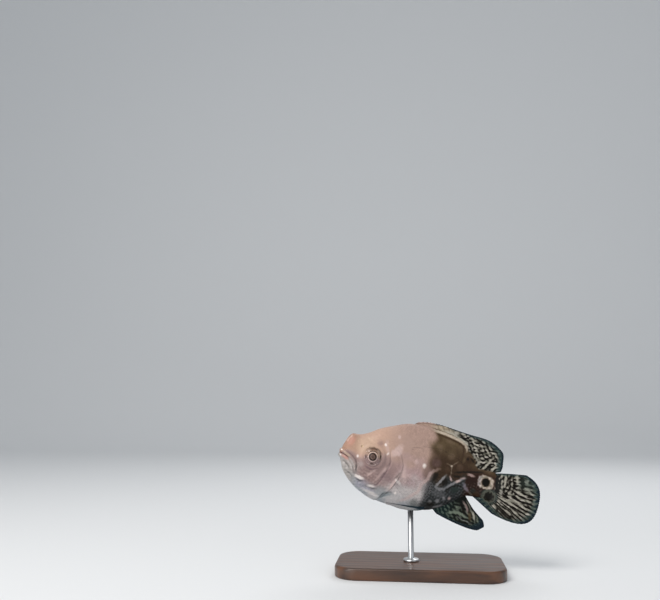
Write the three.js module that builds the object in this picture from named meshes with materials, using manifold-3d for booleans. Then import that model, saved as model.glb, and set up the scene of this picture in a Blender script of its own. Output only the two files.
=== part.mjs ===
// A young oscar, a deep-bodied South American cichlid, as a still life-size model on a plain display stand.
// Millimetres, +Z up. The origin is the middle of the stand's underside. The head points to -X, nose up and
// turned a little to -Y, and the left flank faces -Y.
//
// The fish is modelled straight, along +X from the tip of its snout, and cut into its parts there. Every part
// is then bent with the same sideways curve of the trunk and droop of the tail, and the whole fish is tilted.
import * as THREE from "three";
import { mergeVertices } from "three/addons/utils/BufferGeometryUtils.js";
import Module from "manifold-3d";

const wasm = await Module();
wasm.setup();

// Driving dimensions of the straight fish.
const STANDARD_LENGTH = 86;
const GAP = 0.3;

// Outline of the body in side view: x behind the snout, z above the line from snout to tail.
const BACK = [
  [0, -0.1], [0.4, 1.4], [1.6, 5.2], [3.4, 9.1], [5, 10.7], [9.2, 11.5], [13.6, 13.4], [18.7, 16.7],
  [25, 19.6], [36, 23.3], [46, 23.9], [56, 22.9], [62, 21.6], [67.5, 18.8], [72, 15], [76.5, 11.2], [81, 8.9],
  [86, 8.2],
];
const BELLY = [
  [0, -0.1], [0.2, -2.3], [1.5, -4.6], [4.1, -9.5], [6.4, -12], [9.4, -14.6], [14.2, -17.6], [22, -20.2],
  [32, -21.3], [44, -21], [52, -19.8], [58, -17.5], [64.3, -13.2], [68, -10], [72, -7.6], [77, -7.1],
  [86, -7.6],
];
// Half the body's width, and the height at which it is widest: along the mouth first, then the mid flank.
const HALF_WIDTH = [
  [0, 0], [1, 3], [2.5, 4.4], [5, 5.5], [9, 6.5], [14, 7.3], [20, 7.9], [28, 8.4], [36, 8.6], [46, 8.2],
  [58, 6.9], [69, 4.9], [78, 3.4], [86, 2.2],
];
const WIDEST_LEVEL = [
  [0, -0.1], [3.5, -1.5], [6.4, -3.1], [8.4, -5.2], [13, -5], [20, -1.5], [32, 1], [60, 2], [86, 0.3],
];
// Roundness of a cross-section above and below that level: 2 is an ellipse, more is boxier.
const ROUND_ABOVE = [[0, 2], [6, 2.3], [18, 2.5], [30, 2.1], [50, 1.8], [75, 1.9], [86, 2.2]];
const ROUND_BELOW = [[0, 2], [8, 2.3], [20, 2.2], [35, 1.95], [55, 1.8], [75, 1.9], [86, 2.2]];

const MOUTH_CORNER_X = 8;
const LIP = { height: 0.75, above: 1.25, below: 1.35, reach: 0.95, groove: 0.45 };
const SNOUT_BUMP = { x: 4.8, z: 10.4, radius: 2.2, height: 0.3 };

const EYE = { x: 16.7, z: 1.2, radius: 5.4, bulge: 2.7, sunk: 1.25, turnForward: 9, turnUp: 4 };
const BROW = { height: 0.5, radius: 5.8, width: 1.1 };

// The gill cover's outline in side view, and how deep its plate goes into the head.
const GILL_COVER = [
  [23.8, 8], [27.4, 8.7], [31.2, 5.6], [33.3, 0.6], [33.1, -4], [31.6, -8.6], [30, -12.4], [26.6, -15.6],
  [22, -15.2], [24.4, -8.6], [25.8, -2.6], [25.2, 3.2],
];
const GILL_COVER_BULGE = { height: 0.6, edge: 1.8 };
const GILL_COVER_DEPTH = 2.4;
// The cut between head and trunk, just behind the gill covers.
const GILL_OPENING = [
  [27, 30], [27.6, 12.8], [31, 8.4], [34.4, 2.2], [34.2, -4.6], [32.6, -9.4], [30.9, -13.6], [27.8, -17.2],
  [24.6, -19.7], [22, -30],
];
const MOUTH_LINE = [[-3, 1], [0, -0.1], [3.5, -1.5], [6.4, -3.1], [7.8, -4.7], [8.1, -6.4]];
const JAW_HINGE_LINE = [[8.1, -6.4], [10, -9.8], [13, -13.8], [15.4, -17.2], [17, -24]];
const UPPER_JAW_LINE = [[-3, 5], [0.6, 3.4], [3.6, 1.4], [7, -1], [9.4, -3.6], [10.8, -7], [10, -9.8]];
const TAIL_CUT_X = 72.5;

// Bends of the straight fish, applied to every part: the tail swings sideways, and its fin droops.
const SWING = { from: 38, to: 84, degrees: 15 };
const DROOP = { from: 74, to: 92, degrees: 6.2 };
// The whole fish on its stand.
const POSE = { pitch: 13.4, yaw: 15, pivotX: 44, height: 53 };

const STAND = { length: 88, width: 46, thickness: 6, corner: 12, bevel: 0.9 };
const ROD = { x: 43.5, radius: 1.5, footRadius: 4.2, footHeight: 1.5, sides: 18 };

const COLOUR = {
  head: 0x8b7566, flank: 0x5a4839, jaw: 0x93887c, cover: 0x84705f, fin: 0x2c2824, clearFin: 0x7d7264,
  eye: 0x2a1a12, wood: 0x3a2519, steel: 0xb9bcc0,
};

const clamp = (value, low, high) => Math.min(high, Math.max(low, value));
const radians = (degrees) => (degrees * Math.PI) / 180;
const mix = (a, b, share) => a + (b - a) * share;
function smooth(low, high, value) {
  const t = clamp((value - low) / (high - low), 0, 1);
  return t * t * (3 - 2 * t);
}

// A smooth curve through [x, value] points with no overshoot between them. It runs over the root of x, which
// rounds the snout.
function through(points) {
  const at = points.map(([x]) => Math.sqrt(Math.max(0, x)));
  const value = points.map(([, v]) => v);
  const step = at.slice(1).map((a, i) => a - at[i]);
  const rise = step.map((h, i) => (value[i + 1] - value[i]) / h);
  const slope = at.map((_, i) => {
    if (i === 0) return rise[0];
    if (i === at.length - 1) return rise[i - 1];
    if (rise[i - 1] * rise[i] <= 0) return 0;
    const before = 2 * step[i] + step[i - 1];
    const after = step[i] + 2 * step[i - 1];
    return (before + after) / (before / rise[i - 1] + after / rise[i]);
  });
  return (x) => {
    const s = clamp(Math.sqrt(Math.max(0, x)), at[0], at[at.length - 1]);
    let i = 0;
    while (i < step.length - 1 && s > at[i + 1]) i += 1;
    const h = step[i];
    const t = (s - at[i]) / h;
    return (
      value[i] * (1 + 2 * t) * (1 - t) ** 2 + h * slope[i] * t * (1 - t) ** 2 +
      value[i + 1] * t * t * (3 - 2 * t) + h * slope[i + 1] * t * t * (t - 1)
    );
  };
}

const back = through(BACK);
const belly = through(BELLY);
const halfWidth = through(HALF_WIDTH);
const widestLevel = through(WIDEST_LEVEL);
const roundAbove = through(ROUND_ABOVE);
const roundBelow = through(ROUND_BELOW);

// Signed power, for superellipses.
const power = (value, exponent) => Math.sign(value) * Math.abs(value) ** exponent;

// A point of the plain body: x along it, and turn round it from the right flank over the back.
function hullPoint(x, turn, grow = 0) {
  const level = widestLevel(x);
  const above = Math.sin(turn) >= 0;
  const edge = above ? back(x) + grow : belly(x) - grow;
  const exponent = 2 / (above ? roundAbove(x) : roundBelow(x));
  const y = (halfWidth(x) + grow) * power(Math.cos(turn), exponent);
  const z = level + (edge - level) * Math.abs(Math.sin(turn)) ** exponent;
  return new THREE.Vector3(x, y, z);
}

// Signed distance in side view from a point to an open line: positive above it or in front of it.
function sideOf(line, x, z) {
  let nearest = Infinity;
  let sign = 1;
  for (let i = 0; i + 1 < line.length; i += 1) {
    const [ax, az] = line[i];
    const [bx, bz] = line[i + 1];
    const dx = bx - ax;
    const dz = bz - az;
    const t = clamp(((x - ax) * dx + (z - az) * dz) / (dx * dx + dz * dz), 0, 1);
    const away = Math.hypot(x - ax - t * dx, z - az - t * dz);
    if (away < nearest) {
      nearest = away;
      sign = Math.sign(dx * (z - az) - dz * (x - ax)) || 1;
    }
  }
  return nearest * sign;
}

// Signed distance in side view into a closed outline: positive inside.
function inside(outline, x, z) {
  let nearest = Infinity;
  let within = false;
  outline.forEach(([ax, az], i) => {
    const [bx, bz] = outline[(i + 1) % outline.length];
    const dx = bx - ax;
    const dz = bz - az;
    const t = clamp(((x - ax) * dx + (z - az) * dz) / (dx * dx + dz * dz), 0, 1);
    nearest = Math.min(nearest, Math.hypot(x - ax - t * dx, z - az - t * dz));
    if (az > z !== bz > z && x < ax + (dx * (z - az)) / dz) within = !within;
  });
  return within ? nearest : -nearest;
}

// How far the lips, brows, gill covers and snout stand out from the plain body.
function relief(x, z) {
  let out = 0;
  if (x < MOUTH_CORNER_X + 3) {
    const away = sideOf(MOUTH_LINE, x, z);
    const centre = away > 0 ? LIP.above : -LIP.below;
    const fade = 1 - smooth(MOUTH_CORNER_X - 0.5, MOUTH_CORNER_X + 2.5, x);
    out += LIP.height * fade * Math.exp(-(((away - centre) / LIP.reach) ** 2));
    out -= LIP.groove * fade * Math.exp(-((away / 0.4) ** 2));
  }
  const fromEye = Math.hypot(x - EYE.x, z - EYE.z);
  out += BROW.height * Math.exp(-(((fromEye - BROW.radius) / BROW.width) ** 2));
  out += GILL_COVER_BULGE.height * smooth(-0.2, GILL_COVER_BULGE.edge, inside(GILL_COVER, x, z));
  const fromBump = Math.hypot(x - SNOUT_BUMP.x, z - SNOUT_BUMP.z) / SNOUT_BUMP.radius;
  return out + SNOUT_BUMP.height * Math.exp(-fromBump * fromBump);
}

const BODY_STEPS = { head: 23, trunk: 12, round: 34 };

// Stations along the body, closest together at the snout.
function stationsAlong(headSteps, trunkSteps) {
  const headEnd = 35;
  const head = Array.from({ length: headSteps }, (_, i) => headEnd * ((i + 1) / headSteps) ** 1.55);
  const rest = STANDARD_LENGTH - headEnd;
  const trunk = Array.from({ length: trunkSteps }, (_, i) => headEnd + (rest * (i + 1)) / trunkSteps);
  return [...head, ...trunk];
}

// The closed skin of the straight body, made larger by grow all round.
function bodyGeometry(grow) {
  const stations = stationsAlong(BODY_STEPS.head, BODY_STEPS.trunk);
  const sides = BODY_STEPS.round;
  const points = [];
  const faces = [];
  const outwards = new THREE.Vector3();
  for (const x of stations) {
    const lean = smooth(6, 0, x);
    for (let k = 0; k < sides; k += 1) {
      const turn = (2 * Math.PI * (k + 0.5)) / sides;
      const p = hullPoint(x, turn, grow);
      const round = hullPoint(x, turn + 0.02, grow).sub(hullPoint(x, turn - 0.02, grow));
      outwards.set(-lean * round.length(), round.z, -round.y).normalize();
      p.addScaledVector(outwards, relief(p.x, p.z));
      points.push(p.x, p.y, p.z);
    }
  }
  const ring = (i, k) => i * sides + ((k + sides) % sides);
  const snout = points.length / 3;
  points.push(-grow, 0, widestLevel(0));
  const stub = snout + 1;
  points.push(STANDARD_LENGTH + grow, 0, 0);
  for (let k = 0; k < sides; k += 1) {
    faces.push(snout, ring(0, k), ring(0, k + 1));
    faces.push(stub, ring(stations.length - 1, k + 1), ring(stations.length - 1, k));
    for (let i = 0; i + 1 < stations.length; i += 1) {
      faces.push(ring(i, k), ring(i + 1, k), ring(i + 1, k + 1));
      faces.push(ring(i, k), ring(i + 1, k + 1), ring(i, k + 1));
    }
  }
  return indexed(points, faces);
}

function indexed(points, faces) {
  const geometry = new THREE.BufferGeometry();
  geometry.setAttribute("position", new THREE.Float32BufferAttribute(points, 3));
  geometry.setIndex(faces);
  return geometry;
}

// Between three.js geometries and manifold-3d solids.
function solidOf(geometry) {
  const bare = geometry.clone();
  bare.deleteAttribute("normal");
  bare.deleteAttribute("uv");
  const merged = mergeVertices(bare, 1e-4);
  const triVerts = new Uint32Array(merged.index.array);
  const made = new wasm.Manifold(
    new wasm.Mesh({ numProp: 3, vertProperties: merged.attributes.position.array, triVerts }),
  );
  if (made.volume() >= 0) return made;
  for (let i = 0; i < triVerts.length; i += 3) {
    [triVerts[i + 1], triVerts[i + 2]] = [triVerts[i + 2], triVerts[i + 1]];
  }
  return new wasm.Manifold(
    new wasm.Mesh({ numProp: 3, vertProperties: merged.attributes.position.array, triVerts }),
  );
}

function geometryOf(solid) {
  const mesh = solid.getMesh();
  const points = [];
  for (let i = 0; i < mesh.numVert; i += 1) {
    points.push(...mesh.vertProperties.subarray(i * mesh.numProp, i * mesh.numProp + 3));
  }
  return indexed(points, Array.from(mesh.triVerts));
}

// A straight-sided cutter: an outline in side view, from one y to another.
function prism(outline, fromY, toY) {
  const shape = new THREE.Shape(outline.map(([x, z]) => new THREE.Vector2(x, z)));
  const made = new THREE.ExtrudeGeometry(shape, { depth: toY - fromY, bevelEnabled: false });
  made.rotateX(Math.PI / 2);
  made.translate(0, toY, 0);
  return solidOf(made);
}

// A thin blade that follows a line in side view and cuts right across the fish.
function blade(line, steps) {
  const curve = new THREE.SplineCurve(line.map(([x, z]) => new THREE.Vector2(x, z)));
  const along = curve.getPoints(steps);
  const sides = along.map((p, i) => {
    const before = along[Math.max(0, i - 1)];
    const after = along[Math.min(along.length - 1, i + 1)];
    const across = new THREE.Vector2(before.y - after.y, after.x - before.x).setLength(GAP / 2);
    return [[p.x + across.x, p.y + across.y], [p.x - across.x, p.y - across.y]];
  });
  const outline = [...sides.map(([a]) => a), ...sides.map(([, b]) => b).reverse()];
  return prism(outline, -40, 40);
}

// A closed outline, drawn smoothly through its points and moved outwards by grow.
function smoothOutline(points, steps, grow) {
  const curve = new THREE.CatmullRomCurve3(points.map(([x, z]) => new THREE.Vector3(x, 0, z)), true);
  const along = curve.getPoints(steps).slice(0, -1);
  const turnedLeft = points.reduce((sum, [x, z], i) => {
    const [nx, nz] = points[(i + 1) % points.length];
    return sum + x * nz - nx * z;
  }, 0) > 0;
  return along.map((p, i) => {
    const before = along[(i + along.length - 1) % along.length];
    const after = along[(i + 1) % along.length];
    const across = new THREE.Vector2(after.z - before.z, before.x - after.x);
    across.setLength(turnedLeft ? grow : -grow);
    return [p.x + across.x, p.z + across.y];
  });
}

// Bends, in the straight fish's frame. arc() gives the place and heading at a distance along a bent line.
function arc(bend, x) {
  const total = radians(bend.degrees);
  const radius = (bend.to - bend.from) / total;
  const heading = total * clamp((x - bend.from) / (bend.to - bend.from), 0, 1);
  const past = Math.max(0, x - bend.to);
  return {
    heading,
    along: x <= bend.from ? x : bend.from + radius * Math.sin(heading) + past * Math.cos(heading),
    aside: x <= bend.from ? 0 : radius * (1 - Math.cos(heading)) + past * Math.sin(heading),
  };
}

function bent([x, y, z]) {
  const droop = arc(DROOP, x);
  const drooped = droop.along + z * Math.sin(droop.heading);
  const height = z * Math.cos(droop.heading) - droop.aside;
  const swing = arc(SWING, drooped);
  return [
    swing.along + y * Math.sin(swing.heading) - POSE.pivotX,
    y * Math.cos(swing.heading) - swing.aside,
    height,
  ];
}

function bentGeometry(solid) {
  const geometry = geometryOf(solid);
  const place = geometry.attributes.position;
  for (let i = 0; i < place.count; i += 1) {
    place.setXYZ(i, ...bent([place.getX(i), place.getY(i), place.getZ(i)]));
  }
  return geometry;
}

// A fin is a thin closed sheet with a column on each ray, and one between two rays where the web is grooved.
// In the plane of the fin, ray(v) gives the root, the tip and how far the ray is bowed, for v from 0 to 1
// along the fin's base.
function finGeometry({ rays, rows, rootThickness, edgeThickness, web, ray, ripple = () => 0 }) {
  const columns = web ? 2 * rays - 1 : rays;
  const layer = [];
  for (let c = 0; c < columns; c += 1) {
    const onWeb = web && c % 2 === 1;
    const { root, tip, bow } = ray(c / (columns - 1));
    const length = Math.hypot(tip[0] - root[0], tip[1] - root[1]);
    const reach = onWeb ? 1 - web / length : 1;
    const across = [-(tip[1] - root[1]) / length, (tip[0] - root[0]) / length];
    const column = [];
    for (let r = 0; r <= rows; r += 1) {
      const t = (r / rows) * reach;
      const side = 4 * bow * t * (1 - t * 0.5);
      const thick = mix(rootThickness, edgeThickness, t ** 0.7) * (onWeb ? 0.72 : 1);
      column.push({
        x: mix(root[0], tip[0], t) + across[0] * side,
        z: mix(root[1], tip[1], t) + across[1] * side,
        y: ripple(c / (columns - 1), t),
        thick: Math.max(thick, 0.5),
      });
    }
    layer.push(column);
  }
  const points = [];
  for (const sign of [-1, 1]) {
    for (const column of layer) {
      for (const p of column) points.push(p.x, p.y + (sign * p.thick) / 2, p.z);
    }
  }
  const at = (side, c, r) => (side * columns + c) * (rows + 1) + r;
  const faces = [];
  const quad = (a, b, c, d) => faces.push(a, b, c, a, c, d);
  for (let c = 0; c + 1 < columns; c += 1) {
    for (let r = 0; r < rows; r += 1) {
      quad(at(0, c, r), at(0, c + 1, r), at(0, c + 1, r + 1), at(0, c, r + 1));
      quad(at(1, c, r), at(1, c, r + 1), at(1, c + 1, r + 1), at(1, c + 1, r));
    }
    quad(at(0, c, 0), at(1, c, 0), at(1, c + 1, 0), at(0, c + 1, 0));
    quad(at(0, c, rows), at(0, c + 1, rows), at(1, c + 1, rows), at(1, c, rows));
  }
  for (let r = 0; r < rows; r += 1) {
    quad(at(0, 0, r), at(0, 0, r + 1), at(1, 0, r + 1), at(1, 0, r));
    const last = columns - 1;
    quad(at(0, last, r), at(1, last, r), at(1, last, r + 1), at(0, last, r + 1));
  }
  return indexed(points, faces);
}

// Median fins, in side view. SINK is how far a root reaches into the flesh before it is cut to the body.
// Lengths and leans run along the fin's base: the fins are half folded, so the rays point well back.
const SINK = 1.6;
const DORSAL = {
  from: 36.5, to: 83.5, rays: 33, bow: 0.4,
  length: through([
    [36.5, 3.2], [40, 5.2], [50, 6.2], [56, 7.2], [62, 9.6], [67.5, 12.2], [73, 13.4], [79, 8.8],
    [83.5, 3.4],
  ]),
  lean: through([[36.5, 32], [50, 24], [60, 19], [68, 25], [76, 28], [83.5, 22]]),
};
const ANAL = {
  from: 55.6, to: 71.5, rays: 19, bow: -0.4,
  length: through([
    [55.6, 3.5], [59, 12.6], [61, 18.2], [63, 21.8], [65, 22], [67, 19], [69, 13.8], [71.5, 6],
  ]),
  lean: through([[55.6, -31], [59, -29], [61, -27], [65, -23], [67, -23.5], [69, -29], [71.5, -42]]),
};
// The tail fin's lower rays droop more, and the lowest start further forward, in the tail stalk's lower edge, and
// are shorter and flatter.
const CAUDAL = {
  x: 86, rays: 17, halfBase: 7.5, length: 24.2, shortest: 14.8, spread: 22, droop: 2.5,
  lowest: { forward: 9, raise: 0.6, shorter: 3.3, flatter: 1.5 },
  highest: { raise: 0.5, flatter: 8 },
};

const atEnd = (root, length, lean) => [root[0] + length * Math.cos(lean), root[1] + length * Math.sin(lean)];

const medianRay = (fin, edge, sink) => (v) => {
  const x = mix(fin.from, fin.to, v);
  const lean = radians(fin.lean(x));
  const length = fin.length(x) + SINK;
  const root = [x - SINK * 0.6, edge(x) + sink];
  return { root, tip: atEnd(root, length, lean), bow: fin.bow };
};

const caudalRay = (v) => {
  const side = 1 - 2 * v;
  const low = Math.max(0, -side);
  const high = Math.max(0, side);
  const lowest = low ** 10;
  const flatter = CAUDAL.lowest.flatter * lowest - CAUDAL.highest.flatter * high ** 2;
  const lean = radians(CAUDAL.spread * side - CAUDAL.droop * low + flatter);
  const rounded = mix(CAUDAL.length, CAUDAL.shortest, Math.abs(side) ** 2.8) * (1 - 0.04 * side);
  const length = rounded - CAUDAL.lowest.shorter * lowest + SINK;
  const forward = CAUDAL.lowest.forward * low ** 6;
  const raise = CAUDAL.lowest.raise * low ** 6 + CAUDAL.highest.raise * high ** 3;
  const root = [CAUDAL.x - SINK - forward, CAUDAL.halfBase * side + raise];
  return { root, tip: atEnd(root, length, lean), bow: 0.3 * side };
};

// Paired fins are fans in a plane of their own: their rays spread from a short base, and the plane is turned
// into place.
const PECTORAL = {
  rays: 14, length: 20, base: 4.4, upper: 16, lower: -30,
  at: [32.6, 7.8, -8.2], flare: 20, lean: -12, roll: 0, sunk: 1.5, bow: 0,
};
const PELVIC = {
  rays: 6, length: 19.5, base: 1, upper: 7, lower: -13,
  at: [31.5, 2.3, -20.2], flare: 3, lean: 6, roll: 35, sunk: 1.5, bow: 0,
};

const fanRay = (fin, shape) => (v) => {
  const lean = radians(mix(fin.upper, fin.lower, v));
  const length = fin.length * shape(v) + fin.sunk;
  const root = [-fin.sunk, fin.base * (0.5 - v)];
  return { root, tip: atEnd(root, length, lean), bow: fin.bow * v };
};

// Turns a paired fin's sheet into place on the right side, and mirrors it for the left.
function placed(geometry, fin, mirrored) {
  geometry.rotateX(radians(fin.roll));
  geometry.rotateY(radians(-fin.lean));
  geometry.rotateZ(radians(fin.flare));
  geometry.translate(...fin.at);
  if (mirrored) geometry.scale(1, -1, 1);
  return solidOf(geometry);
}

function eyeSolid(side, grow) {
  const geometry = new THREE.SphereGeometry(1, 16, 10);
  geometry.scale(EYE.radius + grow, EYE.radius + grow, EYE.bulge + grow);
  geometry.rotateX(radians(90));
  geometry.rotateX(radians(EYE.turnUp * side));
  geometry.rotateZ(radians(EYE.turnForward * side));
  geometry.translate(EYE.x, side * (halfWidth(EYE.x) - EYE.sunk), EYE.z);
  return solidOf(geometry);
}

// Build the straight fish.
const body = solidOf(bodyGeometry(0));
const grownBody = solidOf(bodyGeometry(GAP));

const [eyeLeft, eyeRight] = [-1, 1].map((side) => eyeSolid(side, 0));
const sockets = [-1, 1].map((side) => eyeSolid(side, GAP));

const coverOutline = smoothOutline(GILL_COVER, 28, -GAP / 2);
const coverCut = smoothOutline(GILL_COVER, 28, GAP / 2);
const coverInner = halfWidth(30) - GILL_COVER_DEPTH;
const coverLeft = body.intersect(prism(coverOutline, -30, -coverInner));
const coverRight = body.intersect(prism(coverOutline, coverInner, 30));
const withoutCovers = body
  .subtract(prism(coverCut, -30, -coverInner + GAP))
  .subtract(prism(coverCut, coverInner - GAP, 30));

const cut = withoutCovers
  .subtract(sockets[0])
  .subtract(sockets[1])
  .subtract(blade(GILL_OPENING, 22))
  .subtract(blade(MOUTH_LINE, 8).add(blade(JAW_HINGE_LINE, 8)))
  .subtract(blade(UPPER_JAW_LINE, 12))
  .subtract(blade([[TAIL_CUT_X - 0.6, -30], [TAIL_CUT_X, 0], [TAIL_CUT_X - 0.6, 40]], 4));

// The pieces that the blades leave, told apart by where their middles are.
const pieces = cut.decompose().filter((piece) => piece.volume() > 5);
const middle = (piece) => {
  const box = piece.boundingBox();
  return [(box.min[0] + box.max[0]) / 2, (box.min[2] + box.max[2]) / 2];
};
const nearestTo = (x, z) =>
  pieces.reduce((best, piece) => {
    const away = ([px, pz]) => Math.hypot(px - x, pz - z);
    return away(middle(piece)) < away(middle(best)) ? piece : best;
  });

const PARTS_BY_PLACE = {
  lower_jaw: [7.5, -9],
  upper_jaw: [4.5, -2.5],
  head: [18, 2],
  trunk: [52, 1],
  tail_stalk: [81, 0],
};

const clearOfBody = (solid) => solid.subtract(grownBody);
const largest = (solid) => solid.decompose().reduce((a, b) => (b.volume() > a.volume() ? b : a));

const dorsalFin = finGeometry({
  rays: DORSAL.rays, rows: 3, rootThickness: 1.9, edgeThickness: 0.55, web: 0,
  ray: medianRay(DORSAL, back, -SINK),
  ripple: (v, t) => 0.5 * t * t * Math.sin(9 * v),
});
const analFin = finGeometry({
  rays: ANAL.rays, rows: 4, rootThickness: 1.9, edgeThickness: 0.55, web: 0,
  ray: medianRay(ANAL, belly, SINK),
  ripple: (v, t) => 0.5 * t * t * Math.sin(5 * v + 0.6),
});
const caudalFin = finGeometry({
  rays: CAUDAL.rays, rows: 5, rootThickness: 2.4, edgeThickness: 0.55, web: 0.3, ray: caudalRay,
  ripple: (v, t) => 0.9 * t * t * Math.sin(5.5 * v - 0.8),
});
const pectoralFin = () =>
  finGeometry({
    rays: PECTORAL.rays, rows: 3, rootThickness: 1.1, edgeThickness: 0.5, web: 0,
    ray: fanRay(PECTORAL, (v) => 1 - 0.42 * v ** 1.6 - 0.12 * (1 - v) ** 4),
    ripple: (v, t) => -2.2 * t * t,
  });
const pelvicFin = () =>
  finGeometry({
    rays: PELVIC.rays, rows: 5, rootThickness: 1.3, edgeThickness: 0.5, web: 0,
    ray: fanRay(PELVIC, (v) => Math.sin(Math.PI * (0.28 + 0.64 * v))),
    ripple: (v, t) => -0.6 * t * t,
  });

const solids = {
  ...Object.fromEntries(Object.entries(PARTS_BY_PLACE).map(([name, at]) => [name, nearestTo(...at)])),
  gill_cover_left: coverLeft,
  gill_cover_right: coverRight,
  eye_left: eyeLeft,
  eye_right: eyeRight,
  dorsal_fin: largest(clearOfBody(solidOf(dorsalFin))),
  anal_fin: largest(clearOfBody(solidOf(analFin))),
  caudal_fin: largest(clearOfBody(solidOf(caudalFin))),
  pectoral_fin_left: largest(clearOfBody(placed(pectoralFin(), PECTORAL, true))),
  pectoral_fin_right: largest(clearOfBody(placed(pectoralFin(), PECTORAL, false))),
  pelvic_fin_left: largest(clearOfBody(placed(pelvicFin(), PELVIC, true))),
  pelvic_fin_right: largest(clearOfBody(placed(pelvicFin(), PELVIC, false))),
};

const PART_COLOURS = {
  head: COLOUR.head, upper_jaw: COLOUR.jaw, lower_jaw: COLOUR.jaw, trunk: COLOUR.flank,
  tail_stalk: COLOUR.flank, gill_cover_left: COLOUR.cover, gill_cover_right: COLOUR.cover,
  eye_left: COLOUR.eye, eye_right: COLOUR.eye, dorsal_fin: COLOUR.fin, anal_fin: COLOUR.fin,
  caudal_fin: COLOUR.fin, pectoral_fin_left: COLOUR.clearFin, pectoral_fin_right: COLOUR.clearFin,
  pelvic_fin_left: COLOUR.fin, pelvic_fin_right: COLOUR.fin,
};

function mesh(name, geometry, colour, roughness, metalness = 0) {
  const material = new THREE.MeshStandardMaterial({ color: colour, roughness, metalness });
  const made = new THREE.Mesh(geometry, material);
  made.name = name;
  return made;
}

const part = new THREE.Group();
part.name = "oscar_fish_on_stand";

const fish = new THREE.Group();
fish.rotation.set(0, radians(POSE.pitch), radians(POSE.yaw), "ZYX");
fish.position.set(0, 0, POSE.height);
for (const [name, solid] of Object.entries(solids)) {
  const roughness = name.startsWith("eye") ? 0.08 : 0.42;
  fish.add(mesh(name, bentGeometry(solid), PART_COLOURS[name], roughness));
}
part.add(fish);
part.updateMatrixWorld(true);

// The stand: a base with round corners, and one rod from it up into the belly.
function baseGeometry() {
  const { length, width, thickness, corner, bevel } = STAND;
  const halfLength = length / 2 - bevel;
  const half = width / 2 - bevel;
  const shape = new THREE.Shape();
  shape.moveTo(-halfLength + corner, -half);
  shape.lineTo(halfLength - corner, -half);
  shape.absarc(halfLength - corner, -half + corner, corner, -Math.PI / 2, 0);
  shape.lineTo(halfLength, half - corner);
  shape.absarc(halfLength - corner, half - corner, corner, 0, Math.PI / 2);
  shape.lineTo(-halfLength + corner, half);
  shape.absarc(-halfLength + corner, half - corner, corner, Math.PI / 2, Math.PI);
  shape.lineTo(-halfLength, -half + corner);
  shape.absarc(-halfLength + corner, -half + corner, corner, Math.PI, 1.5 * Math.PI);
  const made = new THREE.ExtrudeGeometry(shape, {
    depth: thickness - 2 * bevel,
    bevelThickness: bevel,
    bevelSize: bevel,
    bevelSegments: 1,
    curveSegments: 5,
  });
  made.translate(0, 0, bevel);
  return made;
}

const bodyInWorld = solidOf(bentGeometry(grownBody).applyMatrix4(fish.matrixWorld));
const rodTop = new THREE.Vector3(...bent([ROD.x, 0, belly(ROD.x) + 3])).applyMatrix4(fish.matrixWorld);

function rodGeometry() {
  const foot = STAND.thickness;
  const profile = [
    [0, foot],
    [ROD.footRadius, foot],
    [ROD.footRadius, foot + ROD.footHeight * 0.6],
    [ROD.footRadius - 0.6, foot + ROD.footHeight],
    [ROD.radius, foot + ROD.footHeight],
    [ROD.radius, rodTop.z],
    [0, rodTop.z],
  ].map(([r, z]) => new THREE.Vector2(r, z));
  const made = new THREE.LatheGeometry(profile, ROD.sides);
  made.rotateX(Math.PI / 2);
  made.translate(rodTop.x, rodTop.y, 0);
  return made;
}

const stand = new THREE.Group();
stand.add(mesh("stand_base", baseGeometry(), COLOUR.wood, 0.5));
const rod = largest(solidOf(rodGeometry()).subtract(bodyInWorld));
stand.add(mesh("stand_rod", geometryOf(rod), COLOUR.steel, 0.3, 1));
part.add(stand);

export default part;
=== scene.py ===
"""A young oscar, a deep-bodied cichlid 110 mm long, as a still life-size model on a plain display stand.

The fish is worked out straight, in millimetres: x behind the tip of the snout, y towards the right flank and
z above the line from snout to tail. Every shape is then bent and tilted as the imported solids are, and made
metres.
"""
import math

import bpy
import numpy as np
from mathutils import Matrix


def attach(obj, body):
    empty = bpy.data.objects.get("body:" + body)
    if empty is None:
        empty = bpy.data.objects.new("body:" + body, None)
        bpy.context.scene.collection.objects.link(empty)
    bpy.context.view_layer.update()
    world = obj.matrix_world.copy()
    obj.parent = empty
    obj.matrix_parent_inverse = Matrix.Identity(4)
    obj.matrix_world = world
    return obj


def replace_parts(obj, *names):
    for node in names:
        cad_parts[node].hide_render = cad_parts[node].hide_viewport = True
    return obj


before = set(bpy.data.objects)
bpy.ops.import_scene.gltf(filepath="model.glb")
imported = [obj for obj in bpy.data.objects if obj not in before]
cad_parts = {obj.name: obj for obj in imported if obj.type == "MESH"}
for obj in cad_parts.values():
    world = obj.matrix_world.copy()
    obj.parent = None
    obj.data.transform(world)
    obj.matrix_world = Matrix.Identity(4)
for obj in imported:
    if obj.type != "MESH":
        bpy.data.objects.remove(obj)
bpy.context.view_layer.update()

MM = 0.001

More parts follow.
